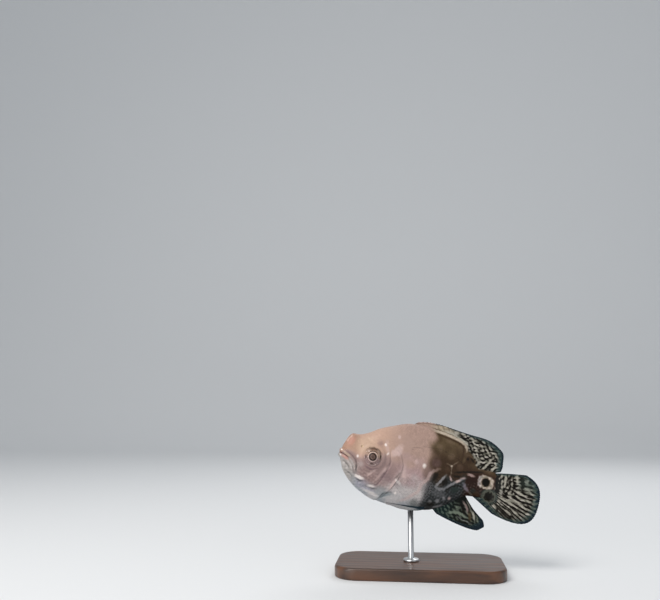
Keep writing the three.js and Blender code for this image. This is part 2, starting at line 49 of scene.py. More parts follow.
# Outline of the body in side view, its half width and the roundness of its sections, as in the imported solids.
STANDARD_LENGTH = 86
BACK = [
    (0, -0.1), (0.4, 1.4), (1.6, 5.2), (3.4, 9.1), (5, 10.7), (9.2, 11.5), (13.6, 13.4), (18.7, 16.7),
    (25, 19.6), (36, 23.3), (46, 23.9), (56, 22.9), (62, 21.6), (67.5, 18.8), (72, 15), (76.5, 11.2),
    (81, 8.9), (86, 8.2),
]
BELLY = [
    (0, -0.1), (0.2, -2.3), (1.5, -4.6), (4.1, -9.5), (6.4, -12), (9.4, -14.6), (14.2, -17.6), (22, -20.2),
    (32, -21.3), (44, -21), (52, -19.8), (58, -17.5), (64.3, -13.2), (68, -10), (72, -7.6), (77, -7.1),
    (86, -7.6),
]
HALF_WIDTH = [
    (0, 0), (1, 3), (2.5, 4.4), (5, 5.5), (9, 6.5), (14, 7.3), (20, 7.9), (28, 8.4), (36, 8.6), (46, 8.2),
    (58, 6.9), (69, 4.9), (78, 3.4), (86, 2.2),
]
WIDEST_LEVEL = [
    (0, -0.1), (3.5, -1.5), (6.4, -3.1), (8.4, -5.2), (13, -5), (20, -1.5), (32, 1), (60, 2), (86, 0.3),
]
ROUND_ABOVE = [(0, 2), (6, 2.3), (18, 2.5), (30, 2.1), (50, 1.8), (75, 1.9), (86, 2.2)]
ROUND_BELOW = [(0, 2), (8, 2.3), (20, 2.2), (35, 1.95), (55, 1.8), (75, 1.9), (86, 2.2)]

# The scales stand this far over the skin, so the skin lies as far inside the solids.
COAT = 0.2
# Behind the solid trunk the skin runs on as a thin scaly foot over the tail fin, this long. Towards its end
# it loses these shares of its height and of its width squared.
TAIL_FOOT = 4.4
FOOT_LOSES = {"height": 0.4, "width": 0.93}
# The relief of the head ends here.
RELIEF_ENDS = 40

EYE = {"x": 16.7, "z": 1.2, "radius": 5.4, "bulge": 2.7, "sunk": 1.25, "forward": 9, "up": 4}
SWING = {"from": 38, "to": 84, "degrees": 15}
DROOP = {"from": 74, "to": 92, "degrees": 6.2}
POSE = {"pitch": 13.4, "yaw": 15, "pivot_x": 44, "height": 53}
STAND = {"length": 88, "width": 46, "thickness": 6, "corner": 12}
ROD = {"x": 43.5, "radius": 1.5, "foot_radius": 4.2, "foot_height": 1.5}

CAMERA = {"place": (0, -406.446, 88.581), "heading": 6.709, "pitch": 8, "lens": 40, "sensor": 36}


# Numbers and curves.

def smooth(low, high, value):
    t = np.clip((value - low) / (high - low), 0, 1)
    return t * t * (3 - 2 * t)


def mix(a, b, share):
    return a + (b - a) * share


def bell(value, width):
    return np.exp(-((value / width) ** 2))


def through(points):
    """A smooth curve through (x, value) points with no overshoot, over the root of x for a round snout."""
    at = np.sqrt([max(0, x) for x, _ in points])
    value = np.array([v for _, v in points], float)
    step = np.diff(at)
    rise = np.diff(value) / step
    slope = np.empty(len(at))
    slope[0], slope[-1] = rise[0], rise[-1]
    turns = rise[:-1] * rise[1:] <= 0
    before = (2 * step[1:] + step[:-1]) / np.where(turns, 1, rise[:-1])
    after = (step[1:] + 2 * step[:-1]) / np.where(turns, 1, rise[1:])
    slope[1:-1] = np.where(turns, 0, 3 * (step[1:] + step[:-1]) / np.where(turns, 1, before + after))

    def curve(x):
        s = np.clip(np.sqrt(np.maximum(0, x)), at[0], at[-1])
        i = np.clip(np.searchsorted(at, s, side="right") - 1, 0, len(step) - 1)
        t = (s - at[i]) / step[i]
        return (
            value[i] * (1 + 2 * t) * (1 - t) ** 2
            + step[i] * slope[i] * t * (1 - t) ** 2
            + value[i + 1] * t * t * (3 - 2 * t)
            + step[i] * slope[i + 1] * t * t * (t - 1)
        )

    return curve


back = through(BACK)
belly = through(BELLY)
half_width = through(HALF_WIDTH)
widest_level = through(WIDEST_LEVEL)
round_above = through(ROUND_ABOVE)
round_below = through(ROUND_BELOW)


def nearest_on(line, x, z):
    """Distance to a line in side view, 1 on its upper or front side and -1 on the other, and the share along
    it. A line of one point has no sides."""
    if len(line) == 1:
        return np.hypot(x - line[0][0], z - line[0][1]), np.ones(np.shape(x)), np.full(np.shape(x), 0.5)
    best = np.full(np.shape(x), 1e9)
    sign = np.ones(np.shape(x))
    share = np.zeros(np.shape(x))
    for k, ((ax, az), (bx, bz)) in enumerate(zip(line, line[1:])):
        dx, dz = bx - ax, bz - az
        t = np.clip(((x - ax) * dx + (z - az) * dz) / (dx * dx + dz * dz), 0, 1)
        away = np.hypot(x - ax - t * dx, z - az - t * dz)
        closer = away < best
        best = np.where(closer, away, best)
        sign = np.where(closer, np.where(dx * (z - az) >= dz * (x - ax), 1, -1), sign)
        share = np.where(closer, (k + t) / (len(line) - 1), share)
    return best, sign, share


def distance(line, x, z):
    return nearest_on(line, x, z)[0]


def side_of(line, x, z):
    away, sign, _ = nearest_on(line, x, z)
    return away * sign


def waves(u, v, pitch, heading, spread, seed, count=14):
    """Stripes about pitch apart along heading, in degrees, with breaks and joins. About -2 to 2."""
    random = np.random.default_rng(seed)
    total = np.zeros(np.shape(u))
    for _ in range(count):
        angle = np.radians(heading + 90 + spread * (2 * random.random() - 1))
        own_pitch = pitch * (0.85 + 0.3 * random.random())
        phase = 2 * np.pi * random.random()
        total = total + np.cos(2 * np.pi * (u * np.cos(angle) + v * np.sin(angle)) / own_pitch + phase)
    return total * math.sqrt(2 / count)


def wobble(u, v, pitch, seed):
    """Soft random hills about pitch apart, from about -1 to 1."""
    return 0.6 * waves(u, v, pitch, 0, 180, seed, 8)


# The straight body, and its bends.

def hull(x, turn, grow=0.0):
    """Points of the plain body, and of the tail's foot. turn runs from the right flank over the back."""
    x, turn = np.broadcast_arrays(np.asarray(x, float), np.asarray(turn, float))
    level = widest_level(x)
    above = np.sin(turn) >= 0
    foot = np.clip((x - STANDARD_LENGTH) / TAIL_FOOT, 0, 1)
    edge = np.where(above, back(x) + grow, belly(x) - grow) * (1 - FOOT_LOSES["height"] * foot**2)
    exponent = 2 / np.where(above, round_above(x), round_below(x))
    across = np.sign(np.cos(turn)) * np.abs(np.cos(turn)) ** exponent
    y = (half_width(x) * np.sqrt(1 - FOOT_LOSES["width"] * foot**2) + grow) * across
    z = level + (edge - level) * np.abs(np.sin(turn)) ** exponent
    return np.stack([x, y, z], -1)


def outwards(x, turn):
    """Directions out of the plain body, which lean forwards at the snout."""
    around = hull(x, turn + 0.02) - hull(x, turn - 0.02)
    length = np.linalg.norm(around, axis=-1)
    lean = smooth(6, 0, np.asarray(x, float))
    out = np.stack([-lean * length, around[..., 2], -around[..., 1]], -1)
    return out / np.linalg.norm(out, axis=-1, keepdims=True)


def arc(bend, x):
    """Heading and place at a distance along a bent line."""
    total = math.radians(bend["degrees"])
    length = bend["to"] - bend["from"]
    radius = length / total
    heading = total * np.clip((x - bend["from"]) / length, 0, 1)
    past = np.maximum(0, x - bend["to"])
    ahead = x <= bend["from"]
    along = np.where(ahead, x, bend["from"] + radius * np.sin(heading) + past * np.cos(heading))
    aside = np.where(ahead, 0, radius * (1 - np.cos(heading)) + past * np.sin(heading))
    return heading, along, aside


def turned(a, b, degrees):
    """Two coordinates of points that are turned from the first axis towards the second."""
    cosine, sine = math.cos(math.radians(degrees)), math.sin(math.radians(degrees))
    return a * cosine - b * sine, a * sine + b * cosine


def placed(points):
    """Points of the straight fish, in mm, bent and tilted as on the stand, in metres."""
    x, y, z = np.moveaxis(np.asarray(points, float), -1, 0)
    heading, along, aside = arc(DROOP, x)
    drooped = along + z * np.sin(heading)
    height = z * np.cos(heading) - aside
    heading, along, aside = arc(SWING, drooped)
    ahead = along + y * np.sin(heading) - POSE["pivot_x"]
    across = y * np.cos(heading) - aside
    up, level = turned(height, ahead, POSE["pitch"])
    world_x, world_y = turned(level, across, POSE["yaw"])
    return np.stack([world_x, world_y, up + POSE["height"]], -1) * MM


# Relief of the head.

MOUTH_LINE = [(-3, 1), (0, -0.1), (3, -1.1), (4.8, -1.9), (6.6, -3.2), (7.8, -4.7), (8.1, -6.4)]
MOUTH_CORNER_X = 8
LIP = {"height": 0.55, "above": 1.1, "below": 1.2, "reach": 0.85, "gape": 0.45, "gape_width": 0.17}
SNOUT_BUMP = {"x": 4.8, "z": 10.4, "radius": 2.2, "height": 0.3}
BROW = {"height": 0.5, "radius": 5.8, "width": 1.1}
SOCKET = {"depth": 2.6, "from": 3.85, "to": 4.35, "rim": 4.6, "rim_height": 0.34, "rim_width": 0.65}
GILL_COVER_REAR = [
    (23.8, 8.4), (27.4, 8.9), (31.2, 5.8), (33.4, 0.6), (33.2, -4), (31.7, -8.6), (30, -12.6),
    (27.2, -16.6), (24.4, -19.4),
]
GILL_COVER_STEP = {"height": 0.5, "fade": 5.0, "edge": 0.45, "trench": 0.2, "trench_width": 0.7}
PREOPERCLE = [
    (25.4, 5.2), (26.6, 1.4), (26.3, -1.6), (24.6, -7), (22.4, -11.8), (19.4, -14.2), (14.6, -15.3),
]

# Creases in the skin of the head, in side view: depth, half width, points. A negative depth is a ridge.
CREASES = [
    (0.42, 0.38, [(1.2, 2.5), (3.4, 1.3), (6.2, -0.1), (8.6, -2.2), (9.7, -4.6), (9.6, -7.2)]),
    (0.32, 0.38, [(0.6, -3.2), (3, -4.7), (5.2, -6.2), (6.6, -7.6), (7.4, -9.4)]),
    (0.3, 0.5, [(8.1, -6.4), (9.8, -9.8), (12.6, -13.2)]),
    (0.3, 0.42, [(10.2, -4.2), (12.6, -6.2), (15.6, -7.2), (19, -6.4)]),
    (-0.2, 0.7, [(11.4, -7.6), (14.8, -9.2), (18.4, -9.2)]),
    (0.24, 0.45, PREOPERCLE),
    (-0.14, 0.7, [(24.4, 4.4), (25.2, 0.6), (24.6, -2.4), (22.8, -7.2), (20.6, -11), (17.6, -12.8)]),
    (0.16, 0.4, [(19.6, -4.4), (17.4, -6.8), (15.8, -8.8)]),
    (0.16, 0.4, [(10.2, -10.4), (12.2, -11.7), (14.6, -12.1)]),
    (0.14, 0.4, [(15.8, -14.5), (19.6, -15.6), (22, -15.4)]),
    (0.22, 0.7, [(21, 9.4), (24, 10.9), (28, 10.8), (31, 8.6)]),
    (0.2, 0.32, [(15, -16.8), (19.5, -17.6), (24, -17.4), (27.4, -15.8)]),
    (0.18, 0.3, [(15.6, -17.9), (20, -18.8), (24, -18.6)]),
    (0.14, 0.5, [(12.4, 10.2), (14.2, 8.2), (17.2, 7.8), (20.2, 8.6)]),
]
NOSTRIL = (10.1, 5.4)
NOSTRIL_SHAPE = {"rim": 0.75, "rim_width": 0.3, "rim_height": 0.16, "depth": 0.8, "width": 0.36}
# Pores of the head's sense canals.
PORE = {"depth": 0.22, "width": 0.26}
PORES = [
    (7.6, 7.6), (12.6, 7.4), (9.9, 1.8), (10.9, -1.6), (13.2, -4.2), (16.6, -5.4), (20.2, -4.4),
    (22.6, -1.2), (23.2, 2.6), (22.2, 6.2), (22.2, 8.9), (18.2, 8.4), (24.6, 4.2), (25.4, -4.4),
    (23.4, -9.4), (20.6, -12.9), (16.6, -14.4), (12.4, -13), (9.4, -11.6), (6.6, -9.6), (28.3, 14.6),
]


def lips(x, z):
    """Two rolls of lip along the mouth, and the slit between them."""
    away = side_of(MOUTH_LINE, x, z)
    centre = np.where(away > 0, LIP["above"], -LIP["below"])
    fade = 1 - smooth(MOUTH_CORNER_X - 0.5, MOUTH_CORNER_X + 2.5, x)
    shut = 1 - 0.8 * smooth(2.5, 6, x) - 0.2 * smooth(MOUTH_CORNER_X, MOUTH_CORNER_X + 1, x)
    rolls = LIP["height"] * fade * bell(away - centre, LIP["reach"])
    return rolls - LIP["gape"] * shut * bell(away, LIP["gape_width"])


def gill_cover(x, z):
    """The cover's rear edge stands out and fades forwards, with a shallow trench behind it."""
    away, sign, _ = nearest_on(GILL_COVER_REAR, x, z)
    ahead = -away * sign
    step = GILL_COVER_STEP
    cover = step["height"] * smooth(0, step["edge"], ahead) * np.exp(-np.maximum(0, ahead) / step["fade"])
    low = 1 - 0.6 * smooth(-3, 4, z)
    cover = cover * low * smooth(14, 20, x)
    return cover - step["trench"] * low * bell(ahead + 0.35, step["trench_width"]) * (ahead < 0.1)


def relief(x, z):
    """How far the skin stands out from the plain body, by the place in side view. Only the head has any."""
    out = np.zeros(np.shape(x))
    head = x < RELIEF_ENDS
    hx, hz = x[head], z[head]
    from_eye = distance([(EYE["x"], EYE["z"])], hx, hz)
    bumps = lips(hx, hz) + gill_cover(hx, hz)
    bumps = bumps + BROW["height"] * bell(from_eye - BROW["radius"], BROW["width"])
    bumps = bumps + SOCKET["rim_height"] * bell(from_eye - SOCKET["rim"], SOCKET["rim_width"])
    for depth, width, line in CREASES:
        bumps = bumps - depth * bell(distance(line, hx, hz), width)
    from_nostril, shape = distance([NOSTRIL], hx, hz), NOSTRIL_SHAPE
    bumps = bumps + shape["rim_height"] * bell(from_nostril - shape["rim"], shape["rim_width"])
    bumps = bumps - shape["depth"] * bell(from_nostril, shape["width"])
    for pore in PORES:
        bumps = bumps - PORE["depth"] * bell(distance([pore], hx, hz), PORE["width"])
    from_bump = distance([(SNOUT_BUMP["x"], SNOUT_BUMP["z"])], hx, hz)
    bumps = bumps + SNOUT_BUMP["height"] * bell(from_bump, SNOUT_BUMP["radius"])
    out[head] = bumps - SOCKET["depth"] * (1 - smooth(SOCKET["from"], SOCKET["to"], from_eye))
    return out


def skin(x, turn, proud=0.0):
    """Points of the skin, or proud of it by so many mm."""
    base = hull(x, turn, -COAT)
    out = relief(base[..., 0], base[..., 2]) + proud
    return base + outwards(x, turn) * out[..., None]


# Markings, as colours by the place in side view. Skin, scales and fins share them.

COLOURS = {
    "tan": (184, 152, 134), "sand": (198, 174, 146), "painted snout shade": (156, 122, 104), "shoulder": (166, 139, 127),
    "mauve": (166, 140, 138), "cheek": (138, 115, 111), "milk": (192, 186, 184), "chin": (156, 148, 142),
    "belly": (140, 150, 158), "lilac": (152, 144, 158), "olive": (90, 75, 54), "brown": (56, 40, 27),
    "slate": (46, 49, 50), "black": (11, 8, 4), "cream": (200, 185, 168), "ash": (98, 98, 86),
    "pink": (198, 172, 166), "bone": (172, 167, 154), "white": (236, 226, 220), "maroon": (38, 21, 16),
    "deep teal": (18, 42, 42), "green grey": (38, 47, 44), "dark mauve": (106, 82, 86),
    "rose": (190, 124, 110), "pale grey": (142, 140, 142), "fin blue": (16, 29, 38), "mist": (58, 74, 69),
    "gape": (104, 62, 52), "teal": (96, 112, 116), "sage": (128, 138, 122), "pupil": (44, 26, 18),
    "lens reflection": (124, 97, 86), "iris ring": (216, 192, 182), "iris tan": (196, 166, 146),
    "iris dark": (52, 33, 25), "iris brown": (128, 96, 76), "iris violet": (160, 134, 132),
    "iris light": (226, 204, 194),
}

# Lines and spots: colour, half width, softness, strength, points. Later ones lie on top.
FRONT_MARKS = [
    ("pink", 1.8, 3.2, 0.5, [(33.1, -6.1), (35.9, -4.4)]),
    ("milk", 0.8, 2.2, 0.65, [(19, -17.2), (21.5, -18.6), (24, -19.6)]),
    ("milk", 0.8, 2.2, 0.35, [(22.4, -15.2), (26.2, -15.8)]),
    ("milk", 1.6, 2.4, 0.75, [(28.4, -18.8), (31.4, -18.4), (36.4, -18.4)]),
    ("green grey", 1, 2.6, 0.45, [(42.2, -17.8), (46.4, -17)]),
    ("sand", 2.4, 3.2, 0.3, [(7, 4.7), (11.5, 6.2), (16.5, 8.6)]),
    ("rose", 0.4, 2, 0.4, [(5.4, 8.9), (4.3, 6.6), (3.4, 4.8)]),
    ("dark mauve", 2, 3.2, 0.4, [(26.4, -5.5), (25.2, -9)]),
    ("milk", 0.6, 1.8, 0.3, [(10.4, -2.6), (11.6, -5)]),
    # Painted shade behind the brow.
    ("dark mauve", 0.5, 1.8, 0.3, [(20.2, 7.9), (18.7, 10.1)]),
    ("lilac", 1, 1.8, 0.4, [(10.8, -13.5), (16.3, -12.6)]),
    # Painted shadow under the gill cover's lower edge.
    ("teal", 0.8, 2.2, 0.3, [(22.1, -14.2), (27.6, -14.6)]),
    ("dark mauve", 0.2, 0.5, 0.35, PREOPERCLE[1:6]),
    # Painted shade under the brow, in an arc above the eye, and in the fold under it.
    ("brown", 0.1, 0.7, 0.5, [(12.5, 3.7), (14.2, 5.4), (16.7, 6), (19.2, 5.4), (20.8, 3.8)]),
    ("dark mauve", 0.1, 0.6, 0.7, [(13.6, -4.1), (15.2, -4.7), (16.7, -4.9), (18.5, -4.6), (20, -3.9)]),
    ("pink", 1.1, 1.5, 0.8, [(30.6, 10.3), (28.7, 6.6), (25.7, 4.8)]),
    ("pink", 0.9, 1, 0.5, [(29.6, 6.4), (30.8, 5.4)]),
    ("pink", 0.4, 0.9, 0.5, [(22.6, 11.4), (22.6, 8.6), (24.4, 5.2)]),
    # A painted glint behind the eye.
    ("white", 0.3, 0.6, 0.85, [(22.1, 8.9)]),
    ("white", 0.25, 0.5, 0.7, [(24.4, 5.2), (23.6, 4)]),
    ("pink", 0.5, 0.8, 0.7, [(28.8, 14.6)]),
    # The nostril's pale rim, partly its own colour and partly a painted glint.
    ("sand", 0.45, 0.5, 0.85, [NOSTRIL]),
    # A painted glint in front of the eye.
    ("white", 0.28, 0.45, 0.8, [(8.8, 0.7), (9.1, -0.8)]),
    # A painted highlight along the cheek fold.
    ("pink", 0.35, 0.7, 0.6, [(19.6, -4.6), (17.2, -7), (15.6, -8.6)]),
    ("pink", 0.3, 0.8, 0.45, [(26.4, -1.3), (23.6, -5)]),
    ("pink", 0.3, 0.8, 0.3, [(24.4, -2.4), (22.6, -6.4), (20.4, -10.2)]),
    ("black", 0.15, 0.6, 0.25, [(32.8, -2.9), (31.4, -5.4), (30.4, -6.9)]),
    ("pink", 0.35, 0.6, 0.6, [(31.2, -7.5), (30.5, -8.7), (29.5, -11.1), (29, -13.4)]),
    ("pink", 0.6, 1.4, 0.5, [(33.4, 1.5), (35.1, -5.6), (35.9, -8.4)]),
    # A painted highlight at the pectoral fin's base.
    ("white", 0.4, 0.5, 0.8, [(30.8, -7.2), (32.6, -8.4), (34.2, -9.3)]),
    ("white", 0.35, 0.6, 0.8, [(32.2, -14), (33.2, -14.5)]),
    # Painted shadow under the gill cover's rear corner, and painted shade along the fold at the gill opening's
    # lower end.
    ("teal", 0.6, 1.6, 0.45, [(25.6, -18), (27.6, -16.4), (31, -15.4)]),
    ("slate", 0.06, 0.5, 0.4, [(24.8, -18.9), (26.4, -15.8), (31, -14.3)]),
    ("milk", 0.15, 0.5, 0.6, [(26.6, -18.6), (29, -17.2), (31.8, -15.8)]),
    # Painted highlights on the folds of the jaw, each with a painted shade line under it.
    ("white", 0.45, 0.6, 0.85, [(9.4, -9.9), (11.8, -10.4), (14.4, -11)]),
    ("slate", 0.1, 0.5, 0.55, [(10.9, -11.6), (12.6, -12.1), (14.4, -11.9)]),
    ("white", 0.35, 0.6, 0.8, [(17.4, -13.5), (19.2, -13.5), (21, -13.3)]),
    ("slate", 0.08, 0.5, 0.45, [(18.6, -14.6), (22.1, -14.3)]),
    ("white", 0.3, 0.9, 0.5, [(14, -15.6), (18, -16.4), (22, -17.4), (25, -18.6)]),
    ("lilac", 0.2, 0.8, 0.4, [(12, -15.2), (17, -15.2), (21.6, -15.8)]),
    # A painted highlight along the snout's edge.
    ("white", 0.04, 0.4, 0.4, [(2.4, 6.2), (3.4, 8.2), (4.6, 10.2)]),
    ("sand", 0.25, 0.6, 0.5, [(1, 0.9), (3.2, -0.2), (5.2, -1.3)]),
    # Painted highlights on the tips of the lips.
    ("white", 0.2, 0.35, 0.95, [(0.5, 1.3)]),
    ("white", 0.2, 0.4, 0.7, [(0.3, -1.5)]),
    ("rose", 0.3, 0.7, 0.6, [(1, -1.3), (2.8, -2.1), (4.4, -2.9)]),
    ("milk", 0.12, 0.5, 0.55, [(4.8, -1.8), (7.4, -4.7), (9, -7.4)]),
    ("milk", 0.1, 0.5, 0.5, [(3.6, -3.2), (5.8, -4.9), (7.4, -7)]),
    ("milk", 0.4, 0.8, 0.5, [(2.2, -5.2), (3.2, -5.8)]),
    ("milk", 0.4, 0.8, 0.45, [(4.6, -6.6), (5.6, -7.4)]),
    ("slate", 0.06, 0.5, 0.35, [(2.2, -3.8), (4.6, -5.2), (6.4, -7.4)]),
    ("slate", 0.06, 0.5, 0.35, [(8.6, -4.6), (9.6, -6.6), (9.8, -8.8)]),
    ("slate", 0.06, 0.5, 0.3, [(4.4, -8.6), (7, -9.4), (8.8, -11.4)]),
    ("gape", 0.1, 0.25, 0.8, [(-1, 0.2), (0, -0.1), (3, -1.15), (4.8, -1.9)]),
    # Painted highlights on the front flank.
    ("pink", 0.5, 1.4, 0.6, [(40.2, 4)]),
    ("white", 0.5, 1.2, 0.85, [(44.9, 2.9)]),
]
REAR_MARKS = [
    ("dark mauve", 1.6, 2.2, 0.45, [(51, 8), (51.4, 3.6)]),
    ("pale grey", 1, 1.6, 0.3, [(52.5, -8.6), (56, -9.8), (60, -9.4)]),
    ("pale grey", 0.6, 1, 0.7, [(56.6, -13.4)]),
    ("pink", 0.45, 0.7, 0.75, [(62.6, -10), (63, -11.4)]),
    ("pale grey", 0.35, 0.9, 0.7, [(59.4, -10.4), (60.2, -12.2)]),
    ("pale grey", 0.5, 0.9, 0.7, [(52.8, -14.7)]),
    ("pale grey", 0.3, 0.6, 0.6, [(55, -17), (58, -16.2), (60.5, -14.8)]),
    ("black", 0.5, 1.2, 0.55, [(51, -16.4), (55.6, -15.2)]),
    ("green grey", 1.2, 0.8, 0.9, [(62.6, -6.2), (66.6, -5)]),
    ("black", 0.1, 0.5, 0.7, [(60.6, -8.4), (60.2, -6.4), (62.4, -4.4), (66.2, -3), (68.4, -3.4)]),
    ("black", 0.7, 0.9, 0.6, [(50.2, -0.6), (52.6, -0.4), (51.2, -3.6)]),
    ("black", 1.2, 0.8, 0.75, [(56.4, -4), (59.6, -1.6)]),
    ("black", 0.25, 0.5, 0.6, [(62.4, 1), (64.2, 1.4), (66, 1.6)]),
    ("pale grey", 0.35, 0.6, 0.9, [(58, 0.9), (55.6, -3), (53.2, -6.6)]),
    ("pale grey", 0.4, 0.7, 0.7, [(53.4, -6.4), (56, -7.2), (59.1, -6.3)]),
    ("pale grey", 0.3, 0.6, 0.8, [(58.4, -6.6), (62.4, -3), (65.8, -0.6), (69, 1.8)]),
    ("pink", 0.4, 0.5, 0.8, [(64, -1.6), (66.6, -0.1)]),
    ("pink", 0.25, 0.4, 0.6, [(66.6, 1), (69, 1.5)]),
    ("pink", 0.2, 0.4, 0.8, [(60.3, 0.9), (61, -0.6), (62.1, -1.9)]),
    ("brown", 0.7, 0.7, 0.7, [(60.3, 6.2)]),
    ("cream", 0.3, 0.5, 0.8, [(60.3, 6.2)]),
    ("cream", 0.05, 0.35, 0.5, [(60.3, 6), (60.9, 1.6)]),
    ("cream", 0.05, 0.5, 0.3, [(60.5, 6.4), (63.6, 9.2)]),
    ("cream", 0.05, 0.5, 0.25, [(60.1, 6.2), (57.2, 6.9)]),
    ("black", 0.1, 0.6, 0.7, [(62.6, 3.1), (66.3, 4.2), (70, 5), (74, 5.9), (78, 6.8)]),
    ("brown", 0.1, 0.8, 0.8, [
        (46, 21.4), (52, 20.6), (57.6, 19.8), (62, 18.9), (65, 17.6), (65.6, 14.4), (65.4, 11.4),
    ]),
    ("cream", 0.5, 0.6, 0.9, [
        (44, 23.2), (49.2, 22.3), (54, 21.9), (58, 21.3), (62.4, 20.4), (66, 18.8), (67.3, 16.9),
        (67.3, 15.2),
    ]),
    ("olive", 0.2, 0.9, 0.8, [(67, 12.2), (66.4, 9.4)]),
    ("brown", 1.4, 1, 0.85, [(67.6, 12), (71.2, 10.4)]),
    ("black", 0.3, 0.8, 0.7, [(68.6, 11.6)]),
    ("black", 0.3, 0.6, 0.6, [(70.4, 12.2), (72.4, 10.6)]),
    ("maroon", 2.3, 0.8, 0.95, [(71.4, 2), (72.4, -0.6)]),
    ("pink", 0.45, 0.5, 0.7, [(69.8, 4), (71.8, 3.7), (74, 3.6)]),
    ("lilac", 0.35, 0.9, 0.6, [(68.6, -1.2), (70.2, -3.4), (72.4, -5)]),
    ("green grey", 0.6, 1.2, 0.6, [(73.4, -3.6), (76.2, -4.4)]),
    ("brown", 1.2, 1.2, 0.8, [(75.6, -4.4), (77.6, -6.2)]),
    ("ash", 0.2, 0.7, 0.5, [(72.4, -4.8), (75, -6.4)]),
]
# A pale patch and a pale line that cross from the dark rear into the light front.
CROSSING_MARKS = [
    ("milk", 1.2, 2.4, 0.5, [(46.4, -5), (45.8, -8), (46.6, -11.6)]),
    ("pink", 0.45, 0.9, 0.65, [
        (53.9, 3.2), (50.7, 1.5), (48.9, -0.5), (48.4, -3.3), (46.6, -5.3), (45.2, -6.8), (45.2, -9),
        (44.4, -11.2), (41.9, -13.4), (39.4, -16), (35.6, -18),
    ]),
]
# The light front half, pale with a painted reflection, passes into the dark rear between these distances behind
# the snout.
DARKENS = (44.5, 51)
# The tail stalk's colours pass into the tail fin's between these.
TAIL_BEGINS = (84.8, 86.6)
# Above and behind this line the back wears the fins' marbling.
MARBLED = [
    (66.2, 26), (67.4, 18.5), (68.2, 16), (70.6, 13.8), (73.2, 11.7), (72.9, 9.4), (75, 7.6), (79, 7.8),
    (90, 9.5),
]
# The strokes of the marbling that stand out, in side view: light ones, and dark ones over them.
DORSAL_LIGHT = [
    [(52.3, 23.6), (59.2, 22.6), (65, 20.4), (67, 19.9), (67.5, 18.4), (67.2, 16.2)],
    [(62.8, 24.2), (65.7, 23.5)],
    [(68.5, 23.3), (71.6, 21.6)],
    [(71, 19.2), (72.6, 18), (73.7, 16.6)],
    [(73.1, 19.7), (75.6, 19.9)],
    [(74.6, 17.6), (76.4, 17.9)],
    [(69.7, 14.8), (72, 14), (74, 12.3), (75.4, 10.5), (73.6, 9), (72.8, 7.4)],
    [(75.3, 13.5), (76.7, 13.9)],
    [(75.6, 6.8), (78.2, 9.1), (79.7, 12), (80.7, 14.2), (82.3, 15.8)],
    [(80.8, 6.6), (82.4, 9), (83.7, 11.9), (84.3, 14)],
    [(79.4, 16.4), (80.8, 17.4)],
]
DORSAL_DARK = [
    [(62.1, 23.5), (64.9, 22.2), (67.3, 21.1), (69.3, 19.7)],
    [(68.4, 18.6), (70.5, 16.4), (72.3, 15.5)],
    [(73.5, 17.7), (75.2, 16.5), (76.7, 16.9)],
    [(73.8, 19.1), (75.3, 18.9)],
    [(74.1, 14.3), (77, 15.3)],
    [(75.9, 12.8), (77.5, 12.7)],
    [(77.3, 13.7), (80.1, 14.6)],
    [(79.9, 17.8), (80.9, 15.4)],
    [(74.2, 8.6), (76, 9.9), (77.8, 11.2)],
    [(76.3, 5.9), (79.9, 8.5), (80.9, 10.7), (81, 12.7)],
    [(81.3, 13.8), (82.5, 15.3), (84, 15.2)],
    [(80.9, 6.3), (83.2, 7.9), (84.4, 9.3)],
    [(72.6, 22.1), (74.4, 21.2), (76.3, 21.1)],
]
TAIL_LIGHT = [
    [(87.4, 8.3), (89.4, 8.4), (90.3, 7.2), (90.4, 4.3), (90.9, 2.3)],
    [(88.2, 5), (90.2, 5.2)],
    [(88.9, 2.2), (90.8, 3)],
    [(93.3, 5.3), (94.3, 5.7)],
    [(94.9, 10.6), (96.7, 6)],
    [(88.2, 0.7), (90.1, -0.3)],
    [(93.1, 0.8), (94, -0.5)],
    [(95.2, 2.7), (98.6, 2.3), (101.5, 1.7)],
    [(97.6, 0.2), (100, -0.5)],
    [(94.6, -2.5), (98.5, -2.7), (102, -3.6), (104.5, -4.9)],
    [(89.3, -3.3), (91.6, -3.6), (95.7, -4.3), (99.9, -5.5)],
    [(97.1, -7.1), (101.4, -8.8)],
    [(94.1, -8.1), (98, -10)],
    [(100, 5), (103.2, 5), (105.1, 4.1)],
    [(103.1, 0), (106.4, -0.4)],
    [(88.6, -4.8), (90.6, -5.8)],
    [(86.9, -8.4), (89.4, -9.2)],
]
TAIL_DARK = [
    [(91.7, 7.4), (92.2, 5.4), (92.3, 3.4)],
    [(88.6, 6.9), (89, 5.9)],
    [(93.5, 7.6), (94.3, 6.8)],
    [(90.6, 1.8), (94.8, 2.3)],
    [(93.3, 3.8), (95.8, 4.3)],
    [(90.2, 0.4), (92.3, -0.9)],
    [(90.2, -0.9), (94.1, -2.7)],
    [(97.1, 3.7), (100.9, 3.6)],
    [(96.7, 1.5), (100.8, 0.4)],
    [(95.3, -1.1), (99.8, -1.7), (102.7, -2.3)],
    [(97.2, -3.7), (101.8, -4.8), (105.3, -5.7)],
    [(90.3, -4.6), (95, -5.6), (99.2, -6.8), (102.1, -7.4)],
    [(91, -7.1), (95.7, -8.1), (98.3, -9.3)],
    [(89.6, -8.5), (94.1, -10), (97.9, -11.9)],
    [(95.9, 5.7), (97.6, 5.5)],
    [(96.7, 10.3), (101, 10.7)],
    [(98.3, 8.8), (100.2, 7.8)],
    [(102.4, 9.5), (105.8, 9)],
    [(104.3, -2.2), (106.8, -3.5)],
    [(103.1, 1.7), (105.2, 1.9)],
]
